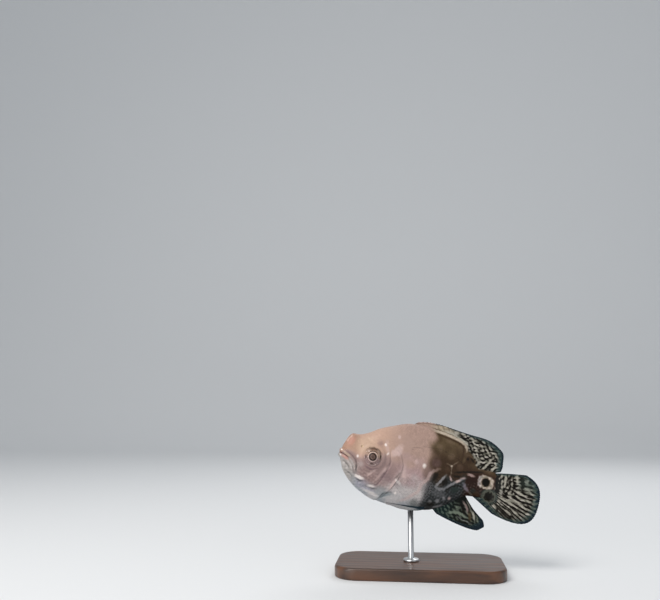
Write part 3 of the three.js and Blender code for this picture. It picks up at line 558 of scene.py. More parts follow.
ANAL_MARKS = [
    ("sage", 0.4, 0.8, 0.8, [(63.4, -18.6), (67.9, -17), (71.2, -17.3), (74.6, -18.6)]),
    ("sage", 0.5, 0.9, 0.6, [(67.8, -15.2), (69.8, -13.8)]),
    ("black", 0.5, 0.6, 0.8, [(70.2, -12.2), (72.2, -15.4), (73.2, -17.2)]),
    ("black", 0.3, 0.5, 0.8, [(73, -12.4), (75.6, -15.6)]),
    ("pink", 0.3, 0.6, 0.6, [(70.6, -10.5), (72.6, -12.2), (73.8, -14), (74.4, -16.2)]),
    ("bone", 0.15, 0.5, 0.5, [(72.6, -9.8), (74.6, -12.2), (76.6, -14.8)]),
    ("bone", 0.4, 0.6, 0.8, [(76.9, -14.6), (78.2, -16.2), (79.4, -18.6)]),
    ("olive", 0.5, 0.9, 0.7, [(75.6, -15.2), (76.9, -19.6)]),
    ("pale grey", 0.06, 0.4, 0.6, [(69, -18.6), (72.3, -20.2), (78.2, -20.9)]),
    ("sage", 0.3, 0.7, 0.6, [(80.2, -17.4), (81.6, -19.2)]),
]
EYESPOT = {"x": 80.4, "z": 2, "ring": (4.5, 3.6), "core": (1.95, 2.05)}
LOWER_SPOT = {"x": 83.8, "z": -4.7, "size": (4.2, 3.6)}
# The black bar behind the eyespot.
TAIL_BAR = [(85.6, 7.6), (86.2, 3.6), (87.5, 0)]
# The point from which the tail fin's dashes fan out, and the distance from it where their widths are measured.
TAIL_FAN = {"x": 66, "z": 2, "radius": 30}


def plain(colour, like):
    """One colour for each place of an array."""
    return np.tile(np.array(COLOURS[colour], float), np.shape(like) + (1,))


def painted(rgb, *coats):
    """rgb under coats of colour, each a colour's name and how much of what lies under it that it hides."""
    for colour, share in coats:
        rgb = rgb + (np.array(COLOURS[colour], float) - rgb) * np.clip(share, 0, 1)[..., None]
    return rgb


def on_line(line, half, soft, x, z, ragged, taper=0.6):
    """1 on a drawn line, 0 off it. It is ragged and gets thinner and fainter towards both ends."""
    away, _, share = nearest_on(line, x, z)
    full = 1 - taper * (2 * share - 1) ** 4
    return full * (1 - smooth(half * full, half * full + soft, away + ragged))


def draw_marks(rgb, marks, x, z):
    ragged = 0.15 * wobble(x, z, 2.2, 5)
    for colour, half, soft, strength, line in marks:
        rgb = painted(rgb, (colour, strength * on_line(line, half, soft, x, z, ragged)))
    return rgb


def draw_strokes(rgb, light, dark, x, z):
    """Light strokes over the marbling, and dark ones over those, ragged and uneven in width."""
    ragged = 0.16 * wobble(x, z, 1.7, 15)
    for colour, half, lines in (("bone", 0.3, light), ("black", 0.2, dark)):
        for line in lines:
            rgb = painted(rgb, (colour, 0.8 * on_line(line, half, 0.42, x, z, ragged, 0.5)))
    return rgb


def marbled_black(pale, x, z):
    """Black, with a ground that is whiter and greyer in patches showing through by the share pale."""
    patchy = waves(x, z, 3.4, 30, 180, 81, 10)
    ground = painted(
        plain("bone", x), ("white", 0.3 * smooth(0.3, 1.4, patchy)),
        ("ash", 0.75 * smooth(0, 1.2, -patchy)),
    )
    return mix(plain("black", x), ground, np.clip(pale, 0, 1)[..., None])


def marbling(x, z):
    """1 on the cream squiggles of the fin bases, 0 on the black between them."""
    high = waves(x, z, 1.9, -14, 58, 3)
    low = waves(x, z, 1.9, 48, 46, 8)
    value = mix(high, low, smooth(15, 10, z)) + 0.3 * wobble(x, z, 3.5, 4)
    return smooth(-0.15, 0.35, value) * (0.85 + 0.15 * wobble(x, z, 2.6, 24))


def eyespots(rgb, x, z):
    """The black spot in its squarish cream ring at the root of the tail fin, and the broken one under it."""
    ragged = 0.1 * wobble(x, z, 1.8, 12)
    dx, dz = np.abs(x - EYESPOT["x"]), np.abs(z - EYESPOT["z"])
    wide, high = EYESPOT["ring"]
    ring = ((dx / wide) ** 3.4 + (dz / high) ** 3.4) ** (1 / 3.4) + 0.5 * ragged
    in_ring = 1 - smooth(0.8, 1.06, ring)
    wide, high = EYESPOT["core"]
    core = np.hypot(dx / wide, dz / high) + 0.7 * ragged
    wide, high = LOWER_SPOT["size"]
    low = np.hypot((x - LOWER_SPOT["x"]) / wide, (z - LOWER_SPOT["z"]) / high) + 1.2 * ragged
    patchy = waves(x, z, 2.2, 20, 180, 31, 9)
    return painted(
        rgb,
        ("green grey", 0.85 * (1 - smooth(1, 1.3, low))),
        ("ash", 0.75 * (1 - smooth(0.8, 1.1, low))),
        ("black", 0.95 * (1 - smooth(0.4, 0.85, low))),
        ("black", 0.9 * on_line(TAIL_BAR, 0.65, 0.5, x, z, 2 * ragged, 0.2)),
        ("cream", 0.82 * in_ring),
        ("lilac", 0.5 * in_ring * smooth(79, 76.5, x)),
        ("white", 0.3 * in_ring * smooth(0.3, 1.2, -patchy)),
        ("ash", 0.5 * in_ring * smooth(0.1, 1, patchy)),
        ("brown", 0.7 * (1 - smooth(1.05, 1.4, core))),
        ("black", 1 - smooth(0.96, 1.14, core)),
    )


def reflection_veiled_front(x, z, up, wander):
    """The tan, mauve and milky front half, its pale colours a painted reflection over the darker fish."""
    mottled = waves(x, z, 1.7, 30, 180, 35, 12)
    rgb = painted(
        plain("shoulder", x),
        ("tan", smooth(34, 18, x) * smooth(0.45, 0.7, up + 0.05 * wander)),
        # Painted shade darkens the top of the snout, where the key lamp falls brightest.
        ("painted snout shade", 0.75 * smooth(11, 4, x) * smooth(0.45, 0.7, up)),
        ("mauve", smooth(0.66, 0.42, up + 0.06 * wander)),
        ("cheek", 0.95 * smooth(36, 26, x) * smooth(0.64, 0.48, up + 0.04 * wander)),
        # The lower flank and belly are paler and bluer: their own pale underside, painted lighter for the light
        # they lack from below, and bluer with a painted reflection of blue light.
        ("milk", 0.9 * smooth(0.42, 0.18, up + 0.05 * wander) * smooth(18, 34, x)),
        ("belly", 0.85 * smooth(0.26, 0.05, up + 0.004 * (x - 20))),
        ("chin", 0.85 * smooth(13, 6, x) * smooth(0.52, 0.32, up)),
        ("slate", 0.09 * smooth(0.2, 1.6, mottled) * smooth(0.5, 0.3, up)),
        ("white", 0.12 * smooth(0.3, 1.6, -mottled) * smooth(0.45, 0.25, up)),
    )
    return draw_marks(rgb, FRONT_MARKS, x, z)


def dark_rear(x, z, up, wander):
    """The olive, brown and slate rear half."""
    cloud = waves(x, z, 7, 20, 180, 22, 8)
    freckle = waves(x, z, 1.6, 0, 180, 21, 10)
    rgb = painted(
        plain("olive", x),
        ("brown", smooth(0.95, 0.5, up + 0.05 * wander)),
        ("brown", 0.4 * smooth(58, 68, x)),
        ("slate", smooth(0.46, 0.3, up + 0.04 * wander) * smooth(74, 68, x)),
        ("maroon", 0.8 * smooth(68, 72, x) * smooth(8, 4, z)),
        ("shoulder", 0.16 * smooth(0.2, 1.6, cloud) * smooth(0.45, 0.6, up)),
        ("brown", 0.3 * smooth(0.2, 1.6, -cloud) * smooth(0.45, 0.6, up)),
        ("black", 0.3 * smooth(0.2, 1.3, freckle) * smooth(0.62, 0.3, up)),
        ("pale grey", 0.25 * smooth(0.3, 1.4, -freckle) * smooth(0.5, 0.25, up)),
    )
    return draw_marks(rgb, REAR_MARKS, x, z)


def body_colour(x, z):
    """Colours of skin and scales. up is a place's height, 0 at the belly's edge and 1 at the back's."""
    up = (z - belly(x)) / np.maximum(back(x) - belly(x), 0.5)
    wander = wobble(x, z, 9, 1)
    darker = smooth(*DARKENS, x + 1.6 * wander)[..., None]
    rgb = mix(reflection_veiled_front(x, z, up, wander), dark_rear(x, z, up, wander), darker)
    rgb = draw_marks(rgb, CROSSING_MARKS, x, z)
    marbled = smooth(-0.3, 0.7, side_of(MARBLED, x, z) + 0.3 * wobble(x, z, 3, 9))
    fabric = draw_strokes(marbled_black(marbling(x, z), x, z), DORSAL_LIGHT, DORSAL_DARK, x, z)
    rgb = mix(rgb, fabric, marbled[..., None])
    rgb = mix(rgb, tail_pattern(x, z), smooth(*TAIL_BEGINS, x)[..., None])
    return eyespots(rgb, x, z)


# Meshes and materials.

def linear(rgb):
    """Colours of 0 to 255 as shown, turned into linear light."""
    c = np.clip(np.asarray(rgb, float) / 255, 0, 1)
    return np.where(c <= 0.04045, c / 12.92, ((c + 0.055) / 1.055) ** 2.4)


def grid_faces(columns, rows, closed=False, start=0, flip=False):
    """Quads over a grid whose point of column c and row r is start + c * rows + r."""
    c, r = np.meshgrid(np.arange(columns - 1), np.arange(rows if closed else rows - 1), indexing="ij")
    after = (r + 1) % rows
    quads = np.stack([c * rows + r, (c + 1) * rows + r, (c + 1) * rows + after, c * rows + after], -1)
    quads = quads.reshape(-1, 4) + start
    return (quads[:, ::-1] if flip else quads).tolist()


def volume(mesh):
    """Negative where the faces turn inwards."""
    mesh.calc_loop_triangles()
    corners = np.empty(3 * len(mesh.loop_triangles), np.int32)
    mesh.loop_triangles.foreach_get("vertices", corners)
    places = np.empty(3 * len(mesh.vertices), np.float32)
    mesh.vertices.foreach_get("co", places)
    a, b, c = places.reshape(-1, 3)[corners].reshape(-1, 3, 3).transpose(1, 0, 2).astype(float)
    return np.sum(a * np.cross(b, c)) / 6


def added(name, data):
    """An object of the scene that shows the data."""
    made = bpy.data.objects.new(name, data)
    bpy.context.scene.collection.objects.link(made)
    return made


def make_piece(name, points, faces, material, tint=None, clear=None, uv=None, crisp=False):
    """A mesh that rides on the part, from points in metres. tint colours each point, clear is how solid each
    point looks, and a crisp one shades as smooth up to its sharp edges only."""
    mesh = bpy.data.meshes.new(name)
    mesh.from_pydata(points.reshape(-1, 3).tolist(), [], faces)
    mesh.validate()
    if volume(mesh) < 0:
        mesh.flip_normals()
    mesh.polygons.foreach_set("use_smooth", [True] * len(mesh.polygons))
    if crisp:
        mesh.set_sharp_from_angle(angle=math.radians(70))
    if tint is not None:
        colour = np.ones((len(mesh.vertices), 4), np.float32)
        colour[:, :3] = linear(tint.reshape(-1, 3))
        layer = mesh.color_attributes.new("Tint", "FLOAT_COLOR", "POINT")
        layer.data.foreach_set("color", colour.ravel())
    if clear is not None:
        layer = mesh.attributes.new("Solid", "FLOAT", "POINT")
        layer.data.foreach_set("value", clear.astype(np.float32).ravel())
    if uv is not None:
        corner = np.empty(len(mesh.loops), np.int32)
        mesh.loops.foreach_get("vertex_index", corner)
        layer = mesh.uv_layers.new(name="OFBake")
        layer.data.foreach_set("uv", uv.reshape(-1, 2)[corner].astype(np.float32).ravel())
    mesh.materials.append(material)
    made = added(name, mesh)
    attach(made, "root")
    return made


class Shader:
    """A material's node tree, with a Principled shader at its end."""

    def __init__(self, name, roughness, coat=0.0, coat_roughness=0.1, metallic=0.0, specular=0.5):
        self.material = bpy.data.materials.new(name)
        self.material.use_nodes = True
        self.tree = self.material.node_tree
        self.principled = self.tree.nodes["Principled BSDF"]
        self.set("Roughness", roughness)
        self.set("Coat Weight", coat)
        self.set("Coat Roughness", coat_roughness)
        self.set("Metallic", metallic)
        self.set("Specular IOR Level", specular)

    def set(self, socket, value):
        self.principled.inputs[socket].default_value = value

    def node(self, kind, **settings):
        made = self.tree.nodes.new(kind)
        for key, value in settings.items():
            if key in made.inputs:
                made.inputs[key].default_value = value
            else:
                setattr(made, key, value)
        return made

    def link(self, source, target):
        self.tree.links.new(source, target)

    def place(self, stretch=(1, 1, 1)):
        """Coordinates in metres on the still model, stretched."""
        coordinates = self.node("ShaderNodeTexCoord")
        mapping = self.node("ShaderNodeMapping", Scale=stretch)
        self.link(coordinates.outputs["Object"], mapping.inputs["Vector"])
        return mapping.outputs["Vector"]

    def noise(self, scale, detail, stretch=(1, 1, 1)):
        made = self.node("ShaderNodeTexNoise", Scale=scale, Detail=detail)
        self.link(self.place(stretch), made.inputs["Vector"])
        return made.outputs["Fac"]

    def spread(self, value, low, high):
        """A 0 to 1 value, mostly near its middle, opened out to the range from low to high."""
        ends = {"From Min": 0.25, "From Max": 0.75, "To Min": low, "To Max": high}
        made = self.node("ShaderNodeMapRange", **ends)
        self.link(value, made.inputs["Value"])
        return made.outputs["Result"]

    def tint(self, scale, detail, low, high):
        """The colour stored on the mesh, made lighter and darker by a noise."""
        stored = self.node("ShaderNodeAttribute", attribute_name="Tint")
        scaled = self.node("ShaderNodeVectorMath", operation="SCALE")
        self.link(stored.outputs["Color"], scaled.inputs[0])
        self.link(self.spread(self.noise(scale, detail), low, high), scaled.inputs["Scale"])
        self.link(scaled.outputs["Vector"], self.principled.inputs["Base Color"])

    def roughen(self, value, low, high):
        self.link(self.spread(value, low, high), self.principled.inputs["Roughness"])

    def bump(self, height, strength, distance_mm):
        made = self.node("ShaderNodeBump", Strength=strength, Distance=distance_mm * MM)
        self.link(height, made.inputs["Height"])
        self.link(made.outputs["Normal"], self.principled.inputs["Normal"])


def skin_material():
    shader = Shader("wet_skin", 0.42, coat=0.08, coat_roughness=0.22, specular=0.22)
    shader.tint(900, 4, 0.93, 1.07)
    shader.roughen(shader.noise(500, 3), 0.34, 0.52)
    shader.bump(shader.noise(1700, 4), 0.5, 0.09)
    return shader.material


def scale_material():
    shader = Shader("scales", 0.42, coat=0.03, coat_roughness=0.25, specular=0.12)
    shader.tint(1400, 3, 0.92, 1.08)
    shader.roughen(shader.noise(700, 2), 0.32, 0.5)
    shader.bump(shader.noise(5200, 2), 0.3, 0.03)
    return shader.material


def fin_material(name, sheer):
    shader = Shader(name, 0.48, coat=0.02, coat_roughness=0.3, specular=0.1)
    shader.tint(1500, 3, 0.88, 1.12)
    shader.roughen(shader.noise(900, 2), 0.38, 0.58)
    shader.bump(shader.noise(4200, 2), 0.3, 0.03)
    if sheer:
        stored = shader.node("ShaderNodeAttribute", attribute_name="Solid")
        shader.link(stored.outputs["Fac"], shader.principled.inputs["Alpha"])
    return shader.material


def wood_material():
    shader = Shader("walnut", 0.42, coat=0.25, coat_roughness=0.18)
    along = (0.16, 1, 1)
    grain = shader.noise(260, 6, along)
    bands = {"Scale": 55, "Distortion": 5.5, "Detail": 3, "Detail Scale": 1.2}
    rings = shader.node("ShaderNodeTexWave", wave_type="BANDS", bands_direction="Y", **bands)
    shader.link(shader.place(along), rings.inputs["Vector"])
    both = shader.node("ShaderNodeMath", operation="MULTIPLY_ADD")
    both.inputs[1].default_value = 0.45
    shader.link(rings.outputs["Fac"], both.inputs[0])
    shader.link(grain, both.inputs[2])
    ramp = shader.node("ShaderNodeValToRGB")
    for element, stop, shown in zip(ramp.color_ramp.elements, (0.3, 0.85), ((40, 24, 15), (92, 58, 36))):
        element.position = stop
        element.color = (*linear(shown), 1)
    shader.link(both.outputs["Value"], ramp.inputs["Fac"])
    shader.link(ramp.outputs["Color"], shader.principled.inputs["Base Color"])
    shader.bump(shader.noise(2200, 2, (0.05, 1, 1)), 0.4, 0.06)
    shader.roughen(grain, 0.34, 0.5)
    return shader.material


def steel_material():
    shader = Shader("brushed_steel", 0.3, metallic=1)
    shader.set("Base Color", (0.62, 0.63, 0.64, 1))
    brushed = shader.noise(1500, 3, (1, 1, 0.04))
    shader.roughen(brushed, 0.24, 0.42)
    shader.bump(brushed, 0.15, 0.02)
    return shader.material


# The skin, in one piece from the lips to the foot of the tail fin.

SKIN_STEPS = {
    "head": 330, "trunk": 110, "tail": 100, "around": 288, "head_end": 35, "trunk_end": 76, "crowding": 0.45,
}
SKIN_NODES = ("head", "upper_jaw", "lower_jaw", "gill_cover_left", "gill_cover_right", "trunk", "tail_stalk")


def skin_piece(material):
    steps = SKIN_STEPS
    head = steps["head_end"] * (np.arange(1, steps["head"] + 1) / steps["head"]) ** 1.5
    trunk = np.linspace(steps["head_end"], steps["trunk_end"], steps["trunk"] + 1)[1:]
    tail = np.linspace(steps["trunk_end"], STANDARD_LENGTH + TAIL_FOOT, steps["tail"] + 1)[1:]
    x = np.concatenate([head, trunk, tail])[:, None]
    even = 2 * np.pi * (np.arange(steps["around"]) + 0.5) / steps["around"]
    turn = even - steps["crowding"] * smooth(26, 12, x) * np.sin(2 * even) / 2
    points = skin(x + 0 * turn, turn)
    columns, rows = points.shape[:2]
    tint = body_colour(points[..., 0], points[..., 2])
    snout = np.array([[COAT - 0.1, 0, widest_level(0)]])
    foot = points[-1].mean(0, keepdims=True)
    flat = np.concatenate([points.reshape(-1, 3), snout, foot])
    tints = np.concatenate([tint.reshape(-1, 3), tint[0].mean(0)[None], tint[-1].mean(0)[None]])
    faces = grid_faces(columns, rows, closed=True)
    first, last = columns * rows, columns * rows + 1
    end = (columns - 1) * rows
    for k in range(rows):
        after = (k + 1) % rows
        faces.append([first, k, after])
        faces.append([last, end + after, end + k])
    made = make_piece("oscar_skin", placed(flat), faces, material, tint=tints)
    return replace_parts(made, *SKIN_NODES)


# Scales: closed domed plates in rows that run along the flank, each row half a plate behind the next. Sizes
# are those of the mid flank, in mm, and GROWTH makes them smaller towards the head and the tail fin.

SCALE = {
    "pitch": 1.5, "row": 0.85, "length": 1.2, "width": 0.96, "lift": 0.12, "thick": 0.08, "pore": 0.05,
    "uneven_size": 0.05, "uneven_shade": 0.04,
}
SCALE_SPOKES = 18
# A plate's outline is this square, and its upper rings lie at these shares of its radius and height.
SCALE_SQUARE = 2.6
SCALE_RINGS = ((0.58, 0.92), (1, 0.62))
# On the bake map each scale is a patch this far to each side, inside this margin.
PATCH_HALF = 0.0015
MAP_MARGIN = 0.01
GROWTH_BEGINS = 10
GROWTH = through([
    (GROWTH_BEGINS, 0.42), (16, 0.46), (22, 0.54), (28, 0.66), (34, 0.82), (42, 0.94), (58, 0.98), (68, 0.84),
    (78, 0.7), (86, 0.56), (92, 0.4),
])
# The front edge of the scaly body, and the scaly fields of the head, in side view.
SCALES_START = [
    (19.5, 40), (20.5, 16.6), (23, 12.8), (26.5, 11.6), (30.5, 10.2), (33, 7.4), (34.5, 3), (34.5, -3.6),
    (33, -9.4), (31, -14), (28.6, -17.6), (26, -30),
]
CHEEK = [
    (20.8, 6.2), (23.8, 5.6), (25.2, 1.6), (24.9, -1.6), (23.2, -6.8), (21, -11), (18.2, -13.2),
    (13, -13.4), (11.6, -11.4), (14.2, -9), (18, -7), (20.8, -4), (22.2, 0.2), (21.8, 3.4),
]
COVER_PLATE = [
    (25.8, 7.8), (29.2, 6.9), (32, 3.6), (32.8, -0.6), (32.3, -4.4), (30.8, -8.8), (28.8, -12.8),
    (25.8, -16.2), (22.6, -15.4), (24.4, -11.2), (26.4, -6.4), (27.6, -1.6), (27.4, 2.4),
]
# The line of pored scales along the upper flank, and its lower part on the tail stalk.
LATERAL_LINES = [
    [(33.5, 8.6), (38, 11.2), (46, 13.2), (54, 13), (62, 10.8), (67, 8)],
    [(58, 2.4), (66, 1.6), (76, 0.6), (86, 0.2)],
]


def within(outline, x, z):
    """Distance in from a closed outline in side view, negative outside."""
    closed = outline + outline[:1]
    inside = np.zeros(np.shape(x), bool)
    for (ax, az), (bx, bz) in zip(closed, closed[1:]):
        crosses = (az > z) != (bz > z)
        at = ax + (bx - ax) * (z - az) / (bz - az if bz != az else 1)
        inside ^= crosses & (x < at)
    return distance(closed, x, z) * np.where(inside, 1, -1)


def scale_seats(side):
    """Places of the scales of one flank, x and turn, in rows that keep their order from head to tail."""
    stations = np.linspace(GROWTH_BEGINS, STANDARD_LENGTH + TAIL_FOOT - 0.6, 400)
    step = np.diff(stations) / (SCALE["pitch"] * GROWTH(stations[1:]))
    number = np.cumsum(np.insert(step, 0, 0))
    turns = np.linspace(-np.pi / 2, np.pi / 2, 241)
    seats = []
    for odd in (0, 1):
        along = np.interp(np.arange(0.5 * odd, number[-1], 1), number, stations)
        ring = hull(along[:, None], turns[None, :])
        ring_step = np.linalg.norm(np.diff(ring, axis=1), axis=-1)
        round_to = np.cumsum(np.insert(ring_step, 0, 0, axis=1), axis=1)
        round_to = round_to - round_to[:, [len(turns) // 2]]
        for x, line in zip(along, round_to):
            row = SCALE["row"] * GROWTH(x)
            rows = np.arange(math.ceil(line[0] / row), math.floor(line[-1] / row) + 1)
            rows = rows[rows % 2 == odd]
            turn = np.interp(rows * row, line, turns)
            seats.append(np.stack([np.full(len(turn), x), turn], -1))
    x, turn = np.concatenate(seats).T
    return x, np.where(side > 0, turn, np.pi - turn)


def body_field(x, z):
    """1 where the body's scales are full, less where they sink into the skin of the nape and the tail."""
    behind = side_of(SCALES_START, x, z)
    full = smooth(-0.3, mix(3, 10, smooth(6, 14, z)), behind)
    return full * (1 - 0.9 * smooth(82, 88.5, x)) * (behind > 0.1) * (x < 89)


def head_field(x, z):
    """The same for the scales of the cheek and the gill cover."""
    depth = np.maximum(within(CHEEK, x, z), within(COVER_PLATE, x, z))
    return 0.9 * smooth(-0.2, 2.2, depth) * (depth > 0.1)


def scale_shape():
    """One plate as (along, across, height, layer): its middle, two rings on top, and a point underneath."""
    n = SCALE_SPOKES
    angle = np.radians(np.concatenate([np.linspace(-112, 112, n - 3), [145, 180, 215]]))
    along, across = np.cos(angle), np.sin(angle)
    reach = np.maximum(np.abs(along) ** SCALE_SQUARE + np.abs(across) ** SCALE_SQUARE, 1e-9)
    squarish = 1 / reach ** (1 / SCALE_SQUARE)
    along, across = along * squarish * 0.92, across * squarish * 0.92
    points = [(0, 0, 1, 0)]
    for ring, height in SCALE_RINGS:
        points += [(ring * a, ring * b, height, 0) for a, b in zip(along, across)]
    points += [(0, 0, 0.9, 1)]
    faces = []
    for k in range(n):
        after = (k + 1) % n
        faces.append((0, 1 + k, 1 + after))
        faces.append((1 + k, 1 + n + k, 1 + n + after))
        faces.append((1 + k, 1 + n + after, 1 + after))
        faces.append((1 + n + k, 1 + 2 * n, 1 + n + after))
    return np.array(points), np.array(faces)


def scales_piece(name, side, field, material):
    shape, shape_faces = scale_shape()
    along, across, dome, layer = shape.T
    x, turn = scale_seats(side)
    place = hull(x, turn)
    full = field(x, place[:, 2]) * (np.abs(place[:, 1]) > 0.3)
    x, turn, full = x[full > 0], turn[full > 0], full[full > 0][:, None]
    per_mm = 0.02 / np.linalg.norm(hull(x, turn + 0.01) - hull(x, turn - 0.01), axis=-1)
    random = np.random.default_rng(11)
    uneven = 1 + SCALE["uneven_size"] * (2 * random.random((len(x), 1)) - 1)
    size = GROWTH(x)[:, None] * uneven * mix(0.86, 1, full)
    at_x = x[:, None] + SCALE["length"] * size * along
    at_turn = turn[:, None] - side * SCALE["width"] * size * across * per_mm[:, None]
    where = skin(at_x, at_turn)
    root_x, root_z = where[:, 0, 0], where[:, 0, 2]
    pored = np.zeros(len(x))
    for line in LATERAL_LINES:
        pored = np.maximum(pored, 1 - smooth(0.25, 0.45, distance(line, root_x, root_z)))
    pore = pored[:, None] * bell(across, 0.3)
    low_front = smooth(28, 34, x) * smooth(54, 36, x)
    lift = SCALE["lift"] * np.sqrt(size) * full * (1 - 0.3 * low_front[:, None])
    rise = lift * (0.12 + 0.88 * ((along + 1) / 2)) * (0.35 + 0.65 * dome)
    rise = rise - mix(0.1, 0.02, full) - SCALE["thick"] * layer
    rise = rise + SCALE["pore"] * full**3 * pore * (layer == 0)
    points = placed(skin(at_x, at_turn, rise).reshape(-1, 3))
    edge = smooth(0.6, 0.95, np.hypot(along, across)) * smooth(-0.2, 0.4, along)
    own = 1 + SCALE["uneven_shade"] * (2 * random.random((len(x), 1)) - 1)
    shade = own * (1.01 - 0.04 * edge * full) * (1 - 0.15 * pore)
    tint = body_colour(where[..., 0], where[..., 2]) * shade[..., None]
    up = np.abs(np.mod(turn + np.pi / 2, 2 * np.pi) - np.pi) / np.pi
    spot = np.stack([x / (STANDARD_LENGTH + TAIL_FOOT), up], -1)
    patches = (MAP_MARGIN + (1 - 2 * MAP_MARGIN) * spot)[:, None, :] + PATCH_HALF * shape[None, :, :2]
    starts = len(shape) * np.arange(len(x))
    faces = (starts[:, None, None] + shape_faces).reshape(-1, 3).tolist()
    return make_piece(name, points, faces, material, tint=tint, uv=patches, crisp=True)


# Fins: thin closed sheets with their rays raised on both faces. Each has its number of rays, the grid's steps
# for each ray and its points along a ray, and the web's thickness at the root and at the edge. Angles are in
# degrees. The median fins sink this far into the body.

SINK = 1.6
DORSAL = {
    "from": 36.5, "to": 83.5, "rays": 33, "per_ray": 8, "rows": 46, "thick": (1.7, 0.26), "bow": 0.4,
    "length": through([
        (36.5, 3.2), (40, 5.2), (50, 6.2), (56, 7.2), (62, 9.6), (67.5, 12.2), (73, 13.4), (79, 8.8),
        (83.5, 3.4),
    ]),
    "lean": through([(36.5, 32), (50, 24), (60, 19), (68, 25), (76, 28), (83.5, 22)]),
}
ANAL = {
    "from": 55.6, "to": 71.5, "rays": 19, "per_ray": 8, "rows": 74, "thick": (1.7, 0.26), "bow": -0.4,
    "length": through([
        (55.6, 3.5), (59, 12.6), (61, 18.2), (63, 21.8), (65, 22), (67, 19), (69, 13.8), (71.5, 6),
    ]),
    "lean": through([(55.6, -31), (59, -29), (61, -27), (65, -23), (67, -23.5), (69, -29), (71.5, -42)]),
}
CAUDAL = {
    "rays": 17, "per_ray": 12, "rows": 84, "thick": (2, 0.28), "half_base": 7.5, "length": 24.2,
    "shortest": 14.8, "spread": 22, "droop": 2.5,
    "lowest": {"forward": 9, "raise": 0.6, "shorter": 3.3, "flatter": 1.5},
    "highest": {"raise": 0.5, "flatter": 8},
}
PECTORAL = {
    "rays": 14, "per_ray": 8, "rows": 40, "thick": (0.9, 0.2), "length": 20, "base": 4.4, "upper": 16,
    "lower": -30, "sunk": 1.5, "at": (32.6, 7.8, -8.2), "flare": 20, "lean": -12, "roll": 0,
}
PELVIC = {
    "rays": 6, "per_ray": 12, "rows": 60, "thick": (0.9, 0.24), "length": 19.5, "base": 1, "upper": 7,
    "lower": -13, "sunk": 1.5, "at": (31.5, 2.3, -20.2), "flare": 3, "lean": 6, "roll": 35,
}
RAY = {
    "height": 0.17, "width": 0.12, "segment": 0.9, "swell": 0.22, "fork_from": 0.35, "fork_to": 0.9,
    "fork_apart": 0.25,
}


def ray_end(root, length, lean):
    """The tip of a ray that leaves its root with a lean above the line to the rear."""
    return np.stack([root[..., 0] + length * np.cos(lean), root[..., 1] + length * np.sin(lean)], -1)


def median_rays(fin, edge, sink):
    """For a fin on the back or belly: the root, tip and bow of the ray at each share v of the fin's base."""
    def rays(v):
        x = mix(fin["from"], fin["to"], v)
        root = np.stack([x - SINK * 0.6, edge(x) + sink], -1)
        tip = ray_end(root, fin["length"](x) + SINK, np.radians(fin["lean"](x)))
        return root, tip, np.full(v.shape, fin["bow"])

    return rays


def caudal_rays(v):
    """The same for the tail fin, from its highest ray to its lowest."""
    side = 1 - 2 * v
    low, high = np.maximum(0, -side), np.maximum(0, side)
    lowest, at_low, at_high = low**10, CAUDAL["lowest"], CAUDAL["highest"]
    flatter = at_low["flatter"] * lowest - at_high["flatter"] * high**2
    lean = np.radians(CAUDAL["spread"] * side - CAUDAL["droop"] * low + flatter)
    rounded = mix(CAUDAL["length"], CAUDAL["shortest"], np.abs(side) ** 2.8) * (1 - 0.04 * side)
    root_x = STANDARD_LENGTH - SINK - at_low["forward"] * low**6
    raised = at_low["raise"] * low**6 + at_high["raise"] * high**3
    root = np.stack([root_x, CAUDAL["half_base"] * side + raised], -1)
    return root, ray_end(root, rounded - at_low["shorter"] * lowest + SINK, lean), 0.3 * side


def fan_rays(fin, shape):
    """The same for a paired fin in its own plane. shape is each ray's share of the length."""
    def rays(v):
        root = np.stack([np.full(v.shape, -fin["sunk"]), fin["base"] * (0.5 - v)], -1)
        lean = np.radians(mix(fin["upper"], fin["lower"], v))
        return root, ray_end(root, fin["length"] * shape(v) + fin["sunk"], lean), 0 * v

    return rays


def on_ray(v, t, rays, forks):
    """1 on the crest of a ray, 0 on the web between rays. Soft rays fork towards the edge."""
    phase = (v * (rays - 1) + 0.5) % 1 - 0.5
    apart = RAY["fork_apart"] * smooth(RAY["fork_from"], RAY["fork_to"], t) * forks
    return np.maximum(bell(phase - apart, RAY["width"]), bell(phase + apart, RAY["width"]))


class Fin:
    """A fin's sheet, from the numbers in size: v runs along its base and t along its rays, and x and z lie in
    its own plane."""

    def __init__(self, size, rays, ripple, forks=lambda v: 1, notch=lambda v: 0.16):
        count, rows = size["rays"], size["rows"]
        v = np.linspace(0, 1, (count - 1) * size["per_ray"] + 1)[:, None] * np.ones(rows)
        t = np.ones((len(v), 1)) * np.linspace(0, 1, rows)
        root, tip, bow = rays(v)
        along = tip - root
        self.length = np.linalg.norm(along, axis=-1)
        crest = on_ray(v, t, count, forks(v))
        t = t * (1 - notch(v) * (1 - on_ray(v, 1, count, forks(v))) / self.length)
        across = np.stack([-along[..., 1], along[..., 0]], -1) / self.length[..., None]
        flat = root + along * t[..., None] + across * (4 * bow * t * (1 - t * 0.5))[..., None]
        self.v, self.t, self.crest, self.thick = v, t, crest, size["thick"]
        self.x, self.z = flat[..., 0], flat[..., 1]
        self.middle = np.stack([self.x, ripple(v, t), self.z], -1)
        self.from_edge = (1 - t) * self.length

    def faces(self):
        """Points of both faces of the sheet: the web thins from the root, and the rays stand out from it."""
        along = self.t * self.length
        swell = RAY["swell"] * np.cos(2 * np.pi * along / RAY["segment"]) * smooth(0.25, 0.4, self.t)
        ridge = RAY["height"] * self.crest * (1 + swell) * mix(1, 0.45, self.t)
        root_thick, web_thick = self.thick
        half = mix(root_thick / 2, web_thick / 2, smooth(0, 0.5, self.t) ** 0.8) + ridge
        rim = np.minimum(1, self.from_edge / 0.25 + 0.35)
        offset = (half * rim)[..., None] * np.array([0, 1, 0])
        return np.stack([self.middle - offset, self.middle + offset]).reshape(-1, 3)


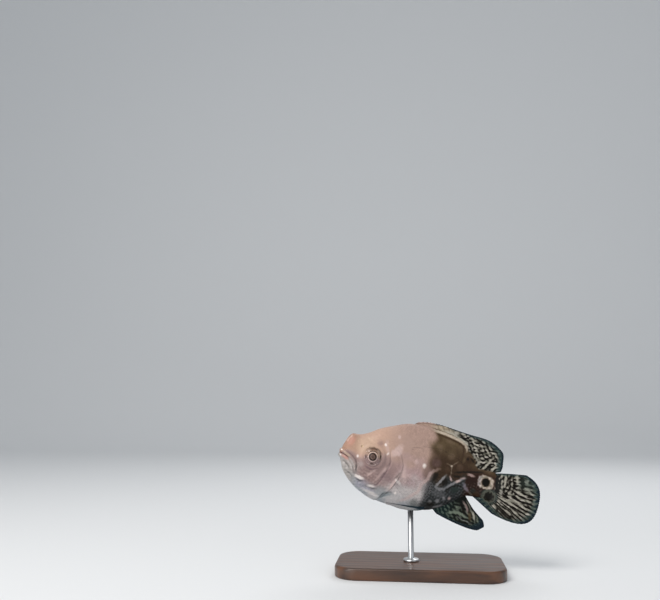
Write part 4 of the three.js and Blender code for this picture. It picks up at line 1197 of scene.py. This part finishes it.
def fin_piece(node, fin, colour, material, place=None, clear=None):
    """A fin in place of its solid node. place takes its points from its own plane to the straight fish."""
    columns, rows = fin.v.shape
    count = columns * rows
    faces = grid_faces(columns, rows) + grid_faces(columns, rows, start=count, flip=True)
    for c in range(columns - 1):
        low, high = c * rows, c * rows + rows - 1
        faces.append([low, count + low, count + low + rows, low + rows])
        faces.append([high, high + rows, count + high + rows, count + high])
    for r in range(rows - 1):
        last = (columns - 1) * rows + r
        faces.append([r, r + 1, count + r + 1, count + r])
        faces.append([last, count + last, count + last + 1, last + 1])
    points = fin.faces() if place is None else place(fin.faces())
    tints = np.concatenate([colour(fin).reshape(-1, 3)] * 2)
    solid = None if clear is None else np.concatenate([clear.ravel()] * 2)
    made = make_piece(node + "_fine", placed(points), faces, material, tint=tints, clear=solid)
    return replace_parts(made, node)


def turned_out(fin, side):
    """Turns a paired fin's plane into place on one side."""
    at_x, at_y, at_z = fin["at"]

    def turn(points):
        x, y, z = points.T
        y, z = turned(y, z, fin["roll"])
        z, x = turned(z, x, -fin["lean"])
        x, y = turned(x, y, fin["flare"])
        return np.stack([x + at_x, side * (y + at_y), z + at_z], -1)

    return turn


def dorsal_colour(fin):
    x, z, from_edge = fin.x, fin.z, fin.from_edge
    band = 0.8 - 0.45 * smooth(0.5, 1.6, waves(x, z, 2.6, -70, 25, 41, 8))
    rgb = marbled_black(mix(marbling(x, z), band, smooth(65, 60, x)), x, z)
    rgb = painted(rgb, ("sand", 0.55 * smooth(62, 52, x)))
    rgb = draw_strokes(rgb, DORSAL_LIGHT, DORSAL_DARK, x, z)
    margin = 0.4 + 3.4 * smooth(62, 70, x)
    veil = 1 - smooth(0.3, 1.1, (from_edge + 0.5 * wobble(x, z, 2.5, 14)) / margin)
    edge = 0.8 + 0.25 * wobble(x, z, 2.4, 17)
    return painted(
        rgb,
        # The fin's front takes the pale front colour of the body, a painted reflection.
        ("shoulder", 0.85 * smooth(51, 44, x)),
        ("pink", 0.6 * smooth(52, 46, x) * (1 - smooth(0.5, 1, np.abs(from_edge - 0.7)))),
        ("brown", 0.45 * smooth(55, 48, x) * bell(from_edge - 1.9, 0.4)),
        ("mist", 0.85 * veil),
        ("fin blue", 0.5 * veil * (1 - fin.crest)),
        ("fin blue", 0.95 * (1 - smooth(edge, edge + 0.4, from_edge)) * smooth(46, 50, x)),
    )


def anal_colour(fin):
    x, z, from_edge = fin.x, fin.z, fin.from_edge
    value = smooth(0.1, 0.8, waves(x, z, 1.9, -30, 40, 51) + 0.4 * wobble(x, z, 4, 6))
    dots = smooth(0.6, 1.2, waves(x, z, 1.2, 0, 180, 61, 10))
    ragged = 0.4 * wobble(x, z, 3, 3)
    in_band = smooth(4.6 + ragged, 4.6 + ragged - 1, from_edge)
    rgb = painted(
        plain("black", x),
        ("deep teal", 0.6 * smooth(70, 60, x) + 0.2),
        ("sage", 0.5 * value * smooth(-9, -13, z + 0.3 * (x - 66))),
        ("fin blue", 0.85 * in_band),
    )
    rgb = draw_marks(rgb, ANAL_MARKS, x, z)
    return painted(
        rgb,
        ("mist", 0.8 * in_band * dots * smooth(2, 3, from_edge)),
        ("fin blue", 1 - smooth(1.6, 2.6, from_edge + ragged)),
    )


def tail_pattern(x, z):
    """Dark dashes on a pale ground that fan out over the tail fin from a point in the tail stalk."""
    dx, dz = x - TAIL_FAN["x"], z - TAIL_FAN["z"]
    along = np.hypot(dx, dz)
    across = TAIL_FAN["radius"] * np.arctan2(dz, dx)
    low = smooth(0, -3, z)
    fine = mix(waves(along, across, 1.7, 0, 9, 71, 9), waves(along, across, 1.35, 0, 5, 74, 7), low)
    streaks = fine + mix(0.7, 0.4, low) * waves(along, across, 5, 90, 30, 72, 8)
    bright = 0.8 + 0.2 * wobble(along, across, 2.4, 33) - 0.35 * smooth(-7, -13, z)
    upper_root = smooth(95.2, 94.2, x + 0.4 * z - 2) * smooth(0, 1, z)
    streaks = mix(streaks, waves(x, z, 2.1, 84, 30, 73, 12), upper_root)
    rgb = marbled_black(bright * smooth(-0.25, 0.45, streaks), x, z)
    return draw_strokes(rgb, TAIL_LIGHT, TAIL_DARK, x, z)


def caudal_colour(fin):
    x, z = fin.x, fin.z
    from_side = np.minimum(fin.from_edge, 60 * np.minimum(fin.v, 1 - fin.v)) + 0.9 * wobble(x, z, 2.5, 3)
    return painted(
        eyespots(tail_pattern(x, z), x, z),
        ("mist", 0.45 * smooth(2, 8, z) * smooth(95, 99, x)),
        ("mist", 0.7 * (1 - smooth(2, 4.5, from_side))),
        ("fin blue", 1 - smooth(0.5, 2.2, from_side)),
    )


def pectoral_colour(fin):
    return painted(plain("pale grey", fin.v), ("pink", 0.3 * fin.crest))


def pelvic_colour(fin):
    # The upper half and the tip are dark: the fin's own dark colour, and along the upper rays painted shadow
    # where they lie against the belly.
    dark = smooth(0.62, 0.46, fin.v) + 0.6 * smooth(0.8, 1, fin.t) * smooth(0.9, 0.6, fin.v)
    return painted(
        plain("pale grey", fin.v),
        ("milk", 0.6 * fin.crest),
        ("fin blue", 0.95 * dark),
        ("mist", 0.3 * fin.crest * smooth(0.3, 0.7, fin.t)),
    )


def fins():
    solid_fin = fin_material("marbled_fin", sheer=False)
    sheer_fin = fin_material("clear_fin", sheer=True)
    dorsal = Fin(
        DORSAL, median_rays(DORSAL, back, -SINK), lambda v, t: 0.5 * t * t * np.sin(9 * v),
        forks=lambda v: smooth(0.36, 0.42, v), notch=lambda v: mix(0.45, 0.14, smooth(0.3, 0.45, v)),
    )
    fin_piece("dorsal_fin", dorsal, dorsal_colour, solid_fin)
    anal = Fin(
        ANAL, median_rays(ANAL, belly, SINK), lambda v, t: 0.5 * t * t * np.sin(5 * v + 0.6),
        forks=lambda v: smooth(0.14, 0.2, v),
    )
    fin_piece("anal_fin", anal, anal_colour, solid_fin)
    caudal = Fin(CAUDAL, caudal_rays, lambda v, t: 0.9 * t * t * np.sin(5.5 * v - 0.8))
    fin_piece("caudal_fin", caudal, caudal_colour, solid_fin)
    blade = fan_rays(PECTORAL, lambda v: 1 - 0.42 * v**1.6 - 0.12 * (1 - v) ** 4)
    pectoral = Fin(PECTORAL, blade, lambda v, t: -2.2 * t * t)
    clear = mix(0.04, 0.12, pectoral.crest) * mix(2.2, 0.7, smooth(0, 0.5, pectoral.t))
    blade = fan_rays(PELVIC, lambda v: np.sin(np.pi * (0.28 + 0.64 * v)))
    pelvic = Fin(PELVIC, blade, lambda v, t: -0.6 * t * t)
    for side, name in ((-1, "left"), (1, "right")):
        place = turned_out(PECTORAL, side)
        fin_piece(f"pectoral_fin_{name}", pectoral, pectoral_colour, sheer_fin, place, clear)
        place = turned_out(PELVIC, side)
        fin_piece(f"pelvic_fin_{name}", pelvic, pelvic_colour, solid_fin, place)


# Eyes: an iris with a raised lens in its pupil, under a clear cornea.

PUPIL = {"radius": 2.05, "lens": 2.15, "below": 0.12}
IRIS = {"from": 2.1, "to": 5.3, "height": 1.62}
CORNEA_RADIUS = 5
# Arcs of the iris: colour, direction in degrees, spread, distance from the middle, width, strength.
IRIS_ARCS = [
    ("iris brown", 96, 40, 3.9, 0.6, 0.9),
    ("iris dark", 106, 42, 2.95, 0.2, 1),
    ("iris dark", 92, 50, 4.4, 0.22, 0.75),
    ("iris dark", 193, 15, 3.6, 0.35, 0.55),
    ("iris dark", 12, 16, 4, 0.35, 0.85),
    ("iris dark", 60, 20, 3.1, 0.2, 0.6),
    ("iris dark", -88, 15, 3.55, 0.35, 0.95),
    ("iris light", 133, 12, 3.8, 0.4, 0.9),
    ("iris light", 56, 10, 4.2, 0.35, 0.7),
    ("iris light", -107, 8, 3.8, 0.25, 0.7),
    ("iris light", -57, 9, 4.2, 0.25, 0.8),
    ("iris light", -86, 42, 4.35, 0.2, 0.35),
]


def eye_surface(radius):
    return EYE["bulge"] * np.sqrt(np.maximum(0, 1 - (radius / EYE["radius"]) ** 2))


def eye_point(radius, angle, height, side):
    """A point of the eye, by its distance and direction from the middle and its height along the axis."""
    x, z = radius * np.cos(angle), radius * np.sin(angle)
    y, z = turned(side * height, z, EYE["up"] * side)
    x, y = turned(x, y, EYE["forward"] * side)
    middle = side * (half_width(EYE["x"]) - EYE["sunk"])
    return np.stack([x + EYE["x"], y + middle, z + EYE["z"]], -1)


def iris_colour(radius, angle):
    def towards(degrees, width):
        return bell((np.degrees(angle) - degrees + 180) % 360 - 180, width)

    fibres = np.cos(61 * angle + 3 * np.sin(7 * angle)) * 0.5 + np.cos(37 * angle + 1.3) * 0.5
    uneven = 0.12 * np.cos(9 * angle + 2) + 0.1 * np.cos(23 * angle)
    rgb = painted(plain("iris tan", radius), ("iris violet", smooth(0.4, -0.4, np.sin(angle))))
    for name, direction, spread, away, width, share in IRIS_ARCS:
        rgb = painted(rgb, (name, share * towards(direction, spread) * bell(radius - away, width)))
    return painted(
        rgb,
        ("iris dark", 0.2 * smooth(0, 1, fibres) * smooth(2.7, 3, radius)),
        ("iris dark", 0.35 * bell(radius - 2.85, 0.14)),
        ("iris ring", (0.8 + uneven - 0.4 * towards(20, 40)) * bell(radius - 2.35, 0.27)),
        ("pupil", 1 - smooth(PUPIL["radius"], PUPIL["radius"] + 0.12, radius)),
        # A painted reflection lightens the middle of the pupil.
        ("lens reflection", smooth(1.5, 1.15, radius) * (0.85 - 0.5 * bell(radius - 0.5, 0.16))),
    )


def revolved(name, radii, heights, side, material, tint=None):
    """A closed button of revolution about the eye's axis, flat behind."""
    spokes = 96
    ring = radii[1:, None] + np.zeros(spokes)
    angle = 2 * np.pi * np.arange(spokes) / spokes + 0 * ring
    rings = eye_point(ring, angle, heights[1:, None] + 0 * ring, side)
    middle = eye_point(np.zeros(1), np.zeros(1), heights[:1], side)
    points = np.concatenate([middle, rings.reshape(-1, 3)])
    faces = [[0, 1 + k, 1 + (k + 1) % spokes] for k in range(spokes)]
    faces += grid_faces(len(ring), spokes, closed=True, start=1)
    faces.append(list(range(len(points) - spokes, len(points)))[::-1])
    tints = None
    if tint:
        tints = np.concatenate([tint(np.zeros(1), np.zeros(1)), tint(ring, angle).reshape(-1, 3)])
    return make_piece(name, placed(points), faces, material, tint=tints)


def cornea_material():
    shader = Shader("cornea", 0.03)
    clear = shader.node("ShaderNodeBsdfTransparent")
    gloss = shader.node("ShaderNodeBsdfGlossy", Roughness=0.04)
    edge = shader.node("ShaderNodeFresnel", IOR=1.2)
    both = shader.node("ShaderNodeMixShader")
    shader.link(edge.outputs["Fac"], both.inputs["Fac"])
    shader.link(clear.outputs["BSDF"], both.inputs[1])
    shader.link(gloss.outputs["BSDF"], both.inputs[2])
    output = shader.tree.nodes["Material Output"]
    shader.link(both.outputs["Shader"], output.inputs["Surface"])
    shader.tree.nodes.remove(shader.principled)
    return shader.material


def iris_material():
    shader = Shader("iris", 0.42, coat=0.1, coat_roughness=0.1, specular=0.3)
    shader.tint(3000, 3, 0.9, 1.1)
    shader.bump(shader.noise(2500, 2), 0.4, 0.05)
    return shader.material


def eyes():
    cornea, iris = cornea_material(), iris_material()
    for side, name in ((-1, "left"), (1, "right")):
        pupil = np.linspace(0, PUPIL["radius"], 20)
        radii = np.concatenate([pupil, np.linspace(IRIS["from"], IRIS["to"], 46)])
        surface = eye_surface(radii)
        curve = np.sqrt(np.maximum(0, PUPIL["lens"] ** 2 - (0.8 * radii) ** 2))
        lens = eye_surface(0) - PUPIL["below"] - PUPIL["lens"] + curve
        bowl = np.minimum(surface - 0.05, IRIS["height"] + 0.1 * smooth(3.3, 2.3, radii))
        heights = np.where(radii <= PUPIL["radius"], np.minimum(lens, surface - 0.06), bowl)
        globe = revolved(f"eye_{name}_globe", radii, heights, side, iris, iris_colour)
        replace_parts(globe, f"eye_{name}")
        outer = np.linspace(0, CORNEA_RADIUS, 34)
        revolved(f"eye_{name}_cornea", outer, eye_surface(outer), side, cornea)


# The stand.

def stacked_piece(node, rings, material):
    """A closed body through rings of points in mm, flat at both ends, in place of a solid node."""
    sides = len(rings[0])
    points = np.array(rings).reshape(-1, 3)
    faces = grid_faces(len(rings), sides, closed=True, flip=True)
    faces.append(list(range(sides))[::-1])
    faces.append(list(range(len(points) - sides, len(points))))
    made = make_piece(node + "_fine", points * MM, faces, material)
    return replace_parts(made, node)


def stand_base(material):
    """A slab with round corners, its edges eased above and below."""
    length, width, corner = STAND["length"], STAND["width"], STAND["corner"]
    corner_steps = 14
    profile = [
        (1, 0), (0.45, 0.1), (0.1, 0.4), (0, 0.9), (0, 4.6), (0.08, 5.1), (0.3, 5.55), (0.65, 5.86), (1.1, 6),
        (1.8, 6),
    ]
    rings = []
    for inset, level in profile:
        ring = []
        for quarter, (sx, sy) in enumerate(((1, 1), (-1, 1), (-1, -1), (1, -1))):
            for step in range(corner_steps + 1):
                angle = math.pi / 2 * (quarter + step / corner_steps)
                x = sx * (length / 2 - corner) + (corner - inset) * math.cos(angle)
                y = sy * (width / 2 - corner) + (corner - inset) * math.sin(angle)
                ring.append((x, y, level * STAND["thickness"] / 6))
        rings.append(ring)
    return stacked_piece("stand_base", rings, material)


def stand_rod(material):
    """A rod on a low round foot, up into the belly."""
    x, y, top = placed([ROD["x"], 0, float(belly(ROD["x"])) + 3]) / MM
    foot, radius, low = ROD["foot_radius"], ROD["radius"], STAND["thickness"]
    high = low + ROD["foot_height"]
    profile = [
        (0.01, low), (foot, low), (foot, high - 0.7), (foot - 0.12, high - 0.4), (foot - 0.45, high - 0.15),
        (foot - 1, high), (radius + 0.3, high), (radius, high + 0.3), (radius, top), (0.01, top),
    ]
    sides = 40
    angle = 2 * np.pi * np.arange(sides) / sides
    across = np.stack([np.cos(angle), np.sin(angle), 0 * angle], -1)
    rings = [(x, y, z) + r * across for r, z in profile]
    return stacked_piece("stand_rod", rings, material)


# Floor, light and camera.

def floor():
    """A pale floor that curves up into a wall far behind."""
    depth, rise, radius, width = 0.9, 1.4, 0.45, 3.0
    profile = [(-2.2, 0)]
    for step in range(13):
        angle = math.pi / 2 * step / 12
        profile.append((depth + radius * math.sin(angle), radius * (1 - math.cos(angle))))
    profile.append((depth + radius, rise))
    points = [(x, y, z) for y, z in profile for x in (-width, width)]
    faces = grid_faces(len(profile), 2)
    mesh = bpy.data.meshes.new("floor")
    mesh.from_pydata(points, [], faces)
    mesh.polygons.foreach_set("use_smooth", [True] * len(mesh.polygons))
    shader = Shader("pale_floor", 0.75)
    shader.set("Base Color", (0.78, 0.79, 0.8, 1))
    mesh.materials.append(shader.material)
    added("floor", mesh)


def lamp(name, place, target, size, watts, colour):
    data = bpy.data.lights.new(name, "AREA")
    data.shape = "RECTANGLE"
    data.size, data.size_y = size
    data.energy = watts
    data.color = colour
    made = added(name, data)
    made.location = place
    way = np.array(target) - np.array(place)
    flat = math.hypot(way[0], way[1])
    made.rotation_euler = (math.atan2(flat, -way[2]), 0, math.atan2(way[1], way[0]) - math.pi / 2)


def light_and_camera():
    world = bpy.data.worlds.new("studio")
    world.use_nodes = True
    background = world.node_tree.nodes["Background"]
    background.inputs["Color"].default_value = (0.86, 0.9, 0.94, 1)
    background.inputs["Strength"].default_value = 0.5
    bpy.context.scene.world = world
    middle = (0, 0, 0.053)
    lamp("key", (-0.35, -0.45, 0.75), middle, (0.5, 0.4), 4.6, (1, 0.97, 0.93))
    lamp("fill", (-0.5, -0.62, 0.1), middle, (0.7, 0.3), 2.4, (1, 0.98, 0.97))
    lamp("side", (0.7, -0.6, 0.3), middle, (0.6, 0.6), 0.6, (0.9, 0.95, 1))
    lamp("rim", (0.2, 0.5, 0.6), middle, (0.4, 0.4), 1.4, (1, 1, 1))
    data = bpy.data.cameras.new("camera")
    data.lens = CAMERA["lens"]
    data.sensor_width = CAMERA["sensor"]
    made = added("camera", data)
    made.location = np.array(CAMERA["place"]) * MM
    made.rotation_euler = (math.radians(90 + CAMERA["pitch"]), 0, math.radians(CAMERA["heading"]))
    bpy.context.scene.camera = made
    bpy.context.scene.view_settings.view_transform = "Standard"


skin_piece(skin_material())
plates = scale_material()
for flank, flank_name in ((-1, "left"), (1, "right")):
    scales_piece(f"scales_{flank_name}", flank, body_field, plates)
    scales_piece(f"head_scales_{flank_name}", flank, head_field, plates)
fins()
eyes()
stand_base(wood_material())
stand_rod(steel_material())
floor()
light_and_camera()
